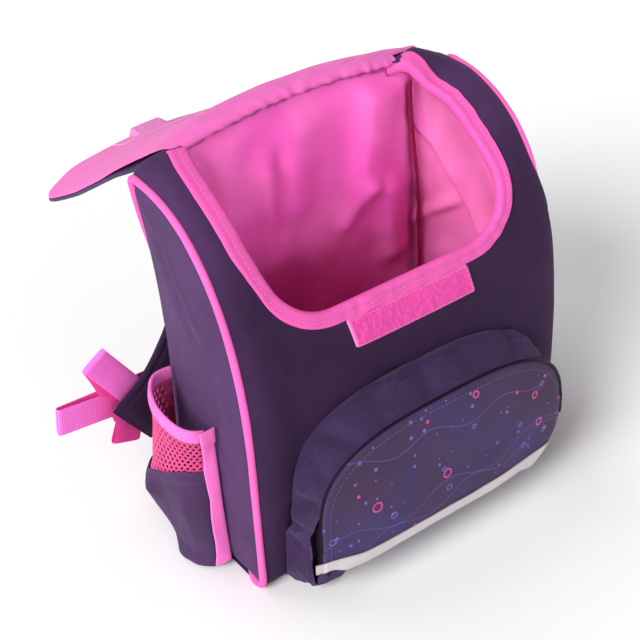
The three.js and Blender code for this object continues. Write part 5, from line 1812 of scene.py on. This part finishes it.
def side_pocket_mesh():
    flat, faces = honeycomb(POCKET_GIRTH * 0.96, MESH_HEIGHT, MESH_PITCH, MESH_HOLE)
    share, up = flat.T / flat.max(axis=0)[:, None]
    share = 0.04 + share * 0.96
    low, high = lookup(MESH_SEAM, share) - 3.0, rim_height(share) - RIM_BINDING + 2
    points = side_pocket_point(share, low + (high - low) * up, -0.4)
    piece = make_object("side_pocket_mesh_left_net", points, faces, flat)
    solid = piece.modifiers.new("thickness", "SOLIDIFY")
    solid.thickness = MESH_THICK * MM
    solid.offset = 0
    return piece, sum(face.area for face in piece.data.polygons)


def side_pocket_binding():
    """Binding on the rim."""
    share = np.linspace(0.03, 1, 100)[:, None]
    reach, up = np.array(RIM_SECTION).T
    wobble = 0.3 * noise(share * 90, 0, 7, 38)
    rings = side_pocket_point(share, rim_height(share) - RIM_BINDING + up, reach + wobble)
    around = np.linspace(0, 18, len(RIM_SECTION))
    return tube("side_pocket_binding_left_tape", rings, share.ravel() * POCKET_GIRTH, around), None


def side_pocket_trim():
    """Trim down the front edge, with its end folded over at the top."""
    z, across = mesh_grid(np.linspace(5.5, RIM_FRONT + 3.0, 110), np.linspace(0, 1, 14))
    tab = smooth(RIM_FRONT - 9.0, RIM_FRONT - 7.6, z)
    wide = lookup(TRIM_WIDTH, z) + 0.006 * tab
    lift = 1.3 + 0.3 * noise(z, across * 10, 10, 39) + 0.9 * tab
    points = side_pocket_point(wide * across, z)
    points[..., 1] -= 2.0 + lift + 0.9 * np.sin(z / 15.0) * across
    points[..., 0] -= 0.8 - 0.5 * tab * (1 - across)
    wear = 0.4 * np.maximum(smooth(0.1, 0, across), smooth(0.9, 1, across))
    piece = grid_cloth("side_pocket_trim_left_tape", points, stack(z, across * 13), 1.3, outward=(-1, -1, 0),
                       wear=wear)
    return piece, grid_area(points)


def make_side_pockets():
    """Pieces by name, with slot, look, flat size and how each is held."""
    rows = {
        # The lower cloth uses a lighter copy of the body cloth, as painted light.
        "lower": (side_pocket_lower(), "cloth", "cloth_pocket", (120, 120), "stretched"),
        "mesh": (side_pocket_mesh(), "mesh", "mesh", (POCKET_GIRTH, MESH_HEIGHT), "stretched"),
        "binding": (side_pocket_binding(), "trim", "trim", (POCKET_GIRTH, 19), "folded"),
        "trim": (side_pocket_trim(), "trim", "trim", (20, 112), "laid"),
    }
    for key, ((left, area), slot, look, flat, held) in rows.items():
        for side, piece in both_sides(left).items():
            finish_sheet(piece, [f"side_pocket_{key}_{side}"], slot, look, flat, held,
                         area)


# Straps

STRAP_WIDTH = 42.0
STRAP_THICK = 7.0
STRAP_GIRTH = 98.0
STRAP_SEAM = 4.0
# Middle line of the left strap, from the top of the back to its lower end
STRAP_ROUTE = [(-45, 55.9, 242), (-46, 56.2, 226), (-51, 63, 200), (-60, 71, 165), (-71, 76, 130),
               (-85, 78.5, 100), (-105, 79, 75), (-130, 79, 57)]
# The box of stitches with its diagonal, at this point of the strap from its end
BOX_AT = -12
BOX_CORNERS = [(-1, -1), (1, -1), (1, 1), (-1, 1), (-1, -1), (1, 1)]
BOX_HALF = (8, 6)


def band_frame(path):
    """Directions across a band and out of its face, which looks to the back."""
    along = tangents(path)
    across = unit(np.cross(along, np.array([0.0, 1.0, 0.0])))
    return across, unit(np.cross(across, along))


def strap_section(reach):
    """Padded section with a sewn channel along both edges, pressed flat at both ends."""
    half, side = STRAP_WIDTH / 2, STRAP_THICK / 2
    x, y = circle(56).T
    shape = stack(np.sign(x) * np.abs(x) ** 0.32 * half, np.sign(y) * np.abs(y) ** 0.75 * side)
    shape[:, 1] *= 1 - 0.42 * hump(np.abs(shape[:, 0]), half - STRAP_SEAM, 1.1)
    section = np.broadcast_to(shape, (len(reach), *shape.shape)).copy()
    section[..., 1] *= 1 + 0.12 * noise(reach[:, None], section[..., 0], 14, 40)
    flat_end = smooth(reach[-1], reach[-1] - 9, reach) * 0.55 + 0.45
    flat_start = smooth(0, 10, reach) * 0.5 + 0.5
    section[..., 1] *= (flat_end * flat_start)[:, None]
    return section


def strap_seams(path, across, out):
    """Stitched lines on both faces: along both edges, and a box near the end."""
    half, side = STRAP_WIDTH / 2, STRAP_THICK / 2
    lines = []
    for way in (-1, 1):
        for face in (-1, 1):
            edge = path + across * way * (half - STRAP_SEAM) + out * face * (side * 0.58)
            lines.append((edge, out * face))
    wide = across[BOX_AT] * BOX_HALF[0]
    long = unit(path[BOX_AT + 2] - path[BOX_AT - 2]) * BOX_HALF[1]
    corners = np.array([path[BOX_AT] + wide * a + long * b for a, b in BOX_CORNERS])
    for face in (-1, 1):
        box = resample(corners + out[BOX_AT] * face * (side * 0.86), step=0.8)
        lines.append((box, np.tile(out[BOX_AT] * face, (len(box), 1))))
    return lines


def make_straps():
    path = spline(STRAP_ROUTE, 150)
    across, out = band_frame(path)
    reach = reach_of(path)
    rings = swept(path, across, out, strap_section(reach))
    pad = tube("shoulder_strap_left_pad", rings, reach, np.linspace(0, STRAP_GIRTH, rings.shape[1]))
    sewing = stitches("shoulder_strap_left_thread", strap_seams(path, across, out), 2.4, 1.0)
    pads, threads = both_sides(pad), both_sides(sewing)
    for side, piece in pads.items():
        finish_piece(piece, [f"shoulder_strap_{side}"], "cloth", "strap")
        finish_piece(threads[side], [], "cloth", "thread_dark")


# Webbing at the straps' lower ends

WEBBING_WIDTH = 20.0
WEBBING_THICK = 1.4
WEBBING_PITCH = 3.2
WEBBING_GIRTH = 42.0
WEBBING_RIB = 1.35
WEBBING_FOLD = 1.8
WEBBING_SHADE = 0.85
WEBBING_HUB = (-119.0, 84.0, 72.0)
# Loops of the left webbing: angle in degrees, length, sideways splay of the upper layer
WEBBING_LOOPS = [(123, 51, 13.0), (174, 58, -4.0), (252, 38, 3.0)]
# From the loops back to the bag's lower corner
WEBBING_TAIL = [(-122, 92.5, 66), (-112, 92, 64), (-102, 88, 56), (-97, 78, 40), (-95, 63, 23),
                (-92, 54.8, 15.5), (-84, 53.6, 14)]


def webbing_loop(level, angle_deg, length, splay):
    """Middle line of one folded loop with its direction across."""
    angle = math.radians(angle_deg)
    way = np.array([math.cos(angle), 0.0, math.sin(angle)])
    out = np.array([0.0, 1.0, 0.0])
    hub = np.array(WEBBING_HUB) + out * level * WEBBING_PITCH
    bow = WEBBING_PITCH * 0.5
    run = np.linspace(-8, length - WEBBING_FOLD, 40)
    puff = (WEBBING_FOLD - bow) * smooth(length * 0.35, length - WEBBING_FOLD, run)
    turn = np.linspace(0, math.pi, 18)[1:-1]
    place = lambda along, lift: hub + way * along[:, None] + out * lift[:, None]
    first = place(run, -puff)
    bend = place(length - WEBBING_FOLD + WEBBING_FOLD * np.sin(turn), bow - WEBBING_FOLD * np.cos(turn))
    second = place(run[::-1], 2 * bow + puff[::-1])
    across = unit(np.cross(way, out))
    second = second + across * (splay * (1 - run[::-1] / length) ** 1.2)[:, None]
    path = resample(np.vstack([first, bend, second]), step=0.45)
    return path, np.tile(across, (len(path), 1))


def webbing_data(path, across):
    """Ribbed flat webbing along a path: points, faces, uv and length."""
    out = unit(np.cross(across, tangents(path)))
    reach = reach_of(path)
    spots = np.linspace(-1, 1, 9)
    round_edge = np.sqrt(np.maximum(0.08, 1 - np.abs(spots) ** 10))
    upper = stack(spots * WEBBING_WIDTH / 2, WEBBING_THICK / 2 * round_edge)
    shape = np.vstack([upper, (upper * [1, -1])[::-1]])
    section = np.broadcast_to(shape, (len(path), *shape.shape)).copy()
    section[..., 1] *= (1 + 0.1 * np.sin(reach * 2 * math.pi / WEBBING_RIB))[:, None]
    points, faces = sweep_data(path, across, out, section)
    uv = stack(*mesh_grid(reach, np.linspace(0, WEBBING_GIRTH, len(shape)))).reshape(-1, 2)
    return points, turned_out(points, faces), uv, float(reach[-1])


def webbing_wear(number, along, reach):
    """Painted shade: the deeper colour of the loops' shaded layers, from halfway on, near the hub, or all of
    a band.
    """
    if number > 1:
        return np.full(len(along), WEBBING_SHADE)
    behind = smooth(0.5 * reach, 0.56 * reach, along)
    if number == 1:
        behind = np.maximum(behind, smooth(0.40 * reach, 0.14 * reach, along))
    return WEBBING_SHADE * behind


def make_webbing():
    bands = [webbing_loop(level, *loop) for level, loop in enumerate(WEBBING_LOOPS)]
    tail = spline(WEBBING_TAIL, 240)
    bands.append((tail, band_frame(tail)[0]))
    parts = [webbing_data(*band) for band in bands]
    wear = [webbing_wear(number, uv[:, 0], reach) for number, (_, _, uv, reach) in enumerate(parts)]
    length = sum(reach for _, _, _, reach in parts)
    points, faces = merged([(part, part_faces) for part, part_faces, _, _ in parts])
    left = make_object("strap_webbing_left_band", points, faces, np.vstack([uv for _, _, uv, _ in parts]),
                       np.concatenate(wear))
    for side, piece in both_sides(left).items():
        flat = (WEBBING_WIDTH, length)
        finish_sheet(piece, [f"strap_webbing_{side}"], "webbing", "webbing", flat, "folded")


make_front_panel()
make_side_panels()
make_piping()
make_back()
make_base()
make_lining()
make_lining_seams()
make_binding()
make_closure_strip()
make_lid_lining()
make_lid_outer()
make_lid_tape()
make_pocket_panel()
make_gusset()
make_zip_tape()
make_zip_coil()
make_zip_pull()
make_reflective_strip()
make_pocket_hem()
make_side_pockets()
make_straps()
make_webbing()
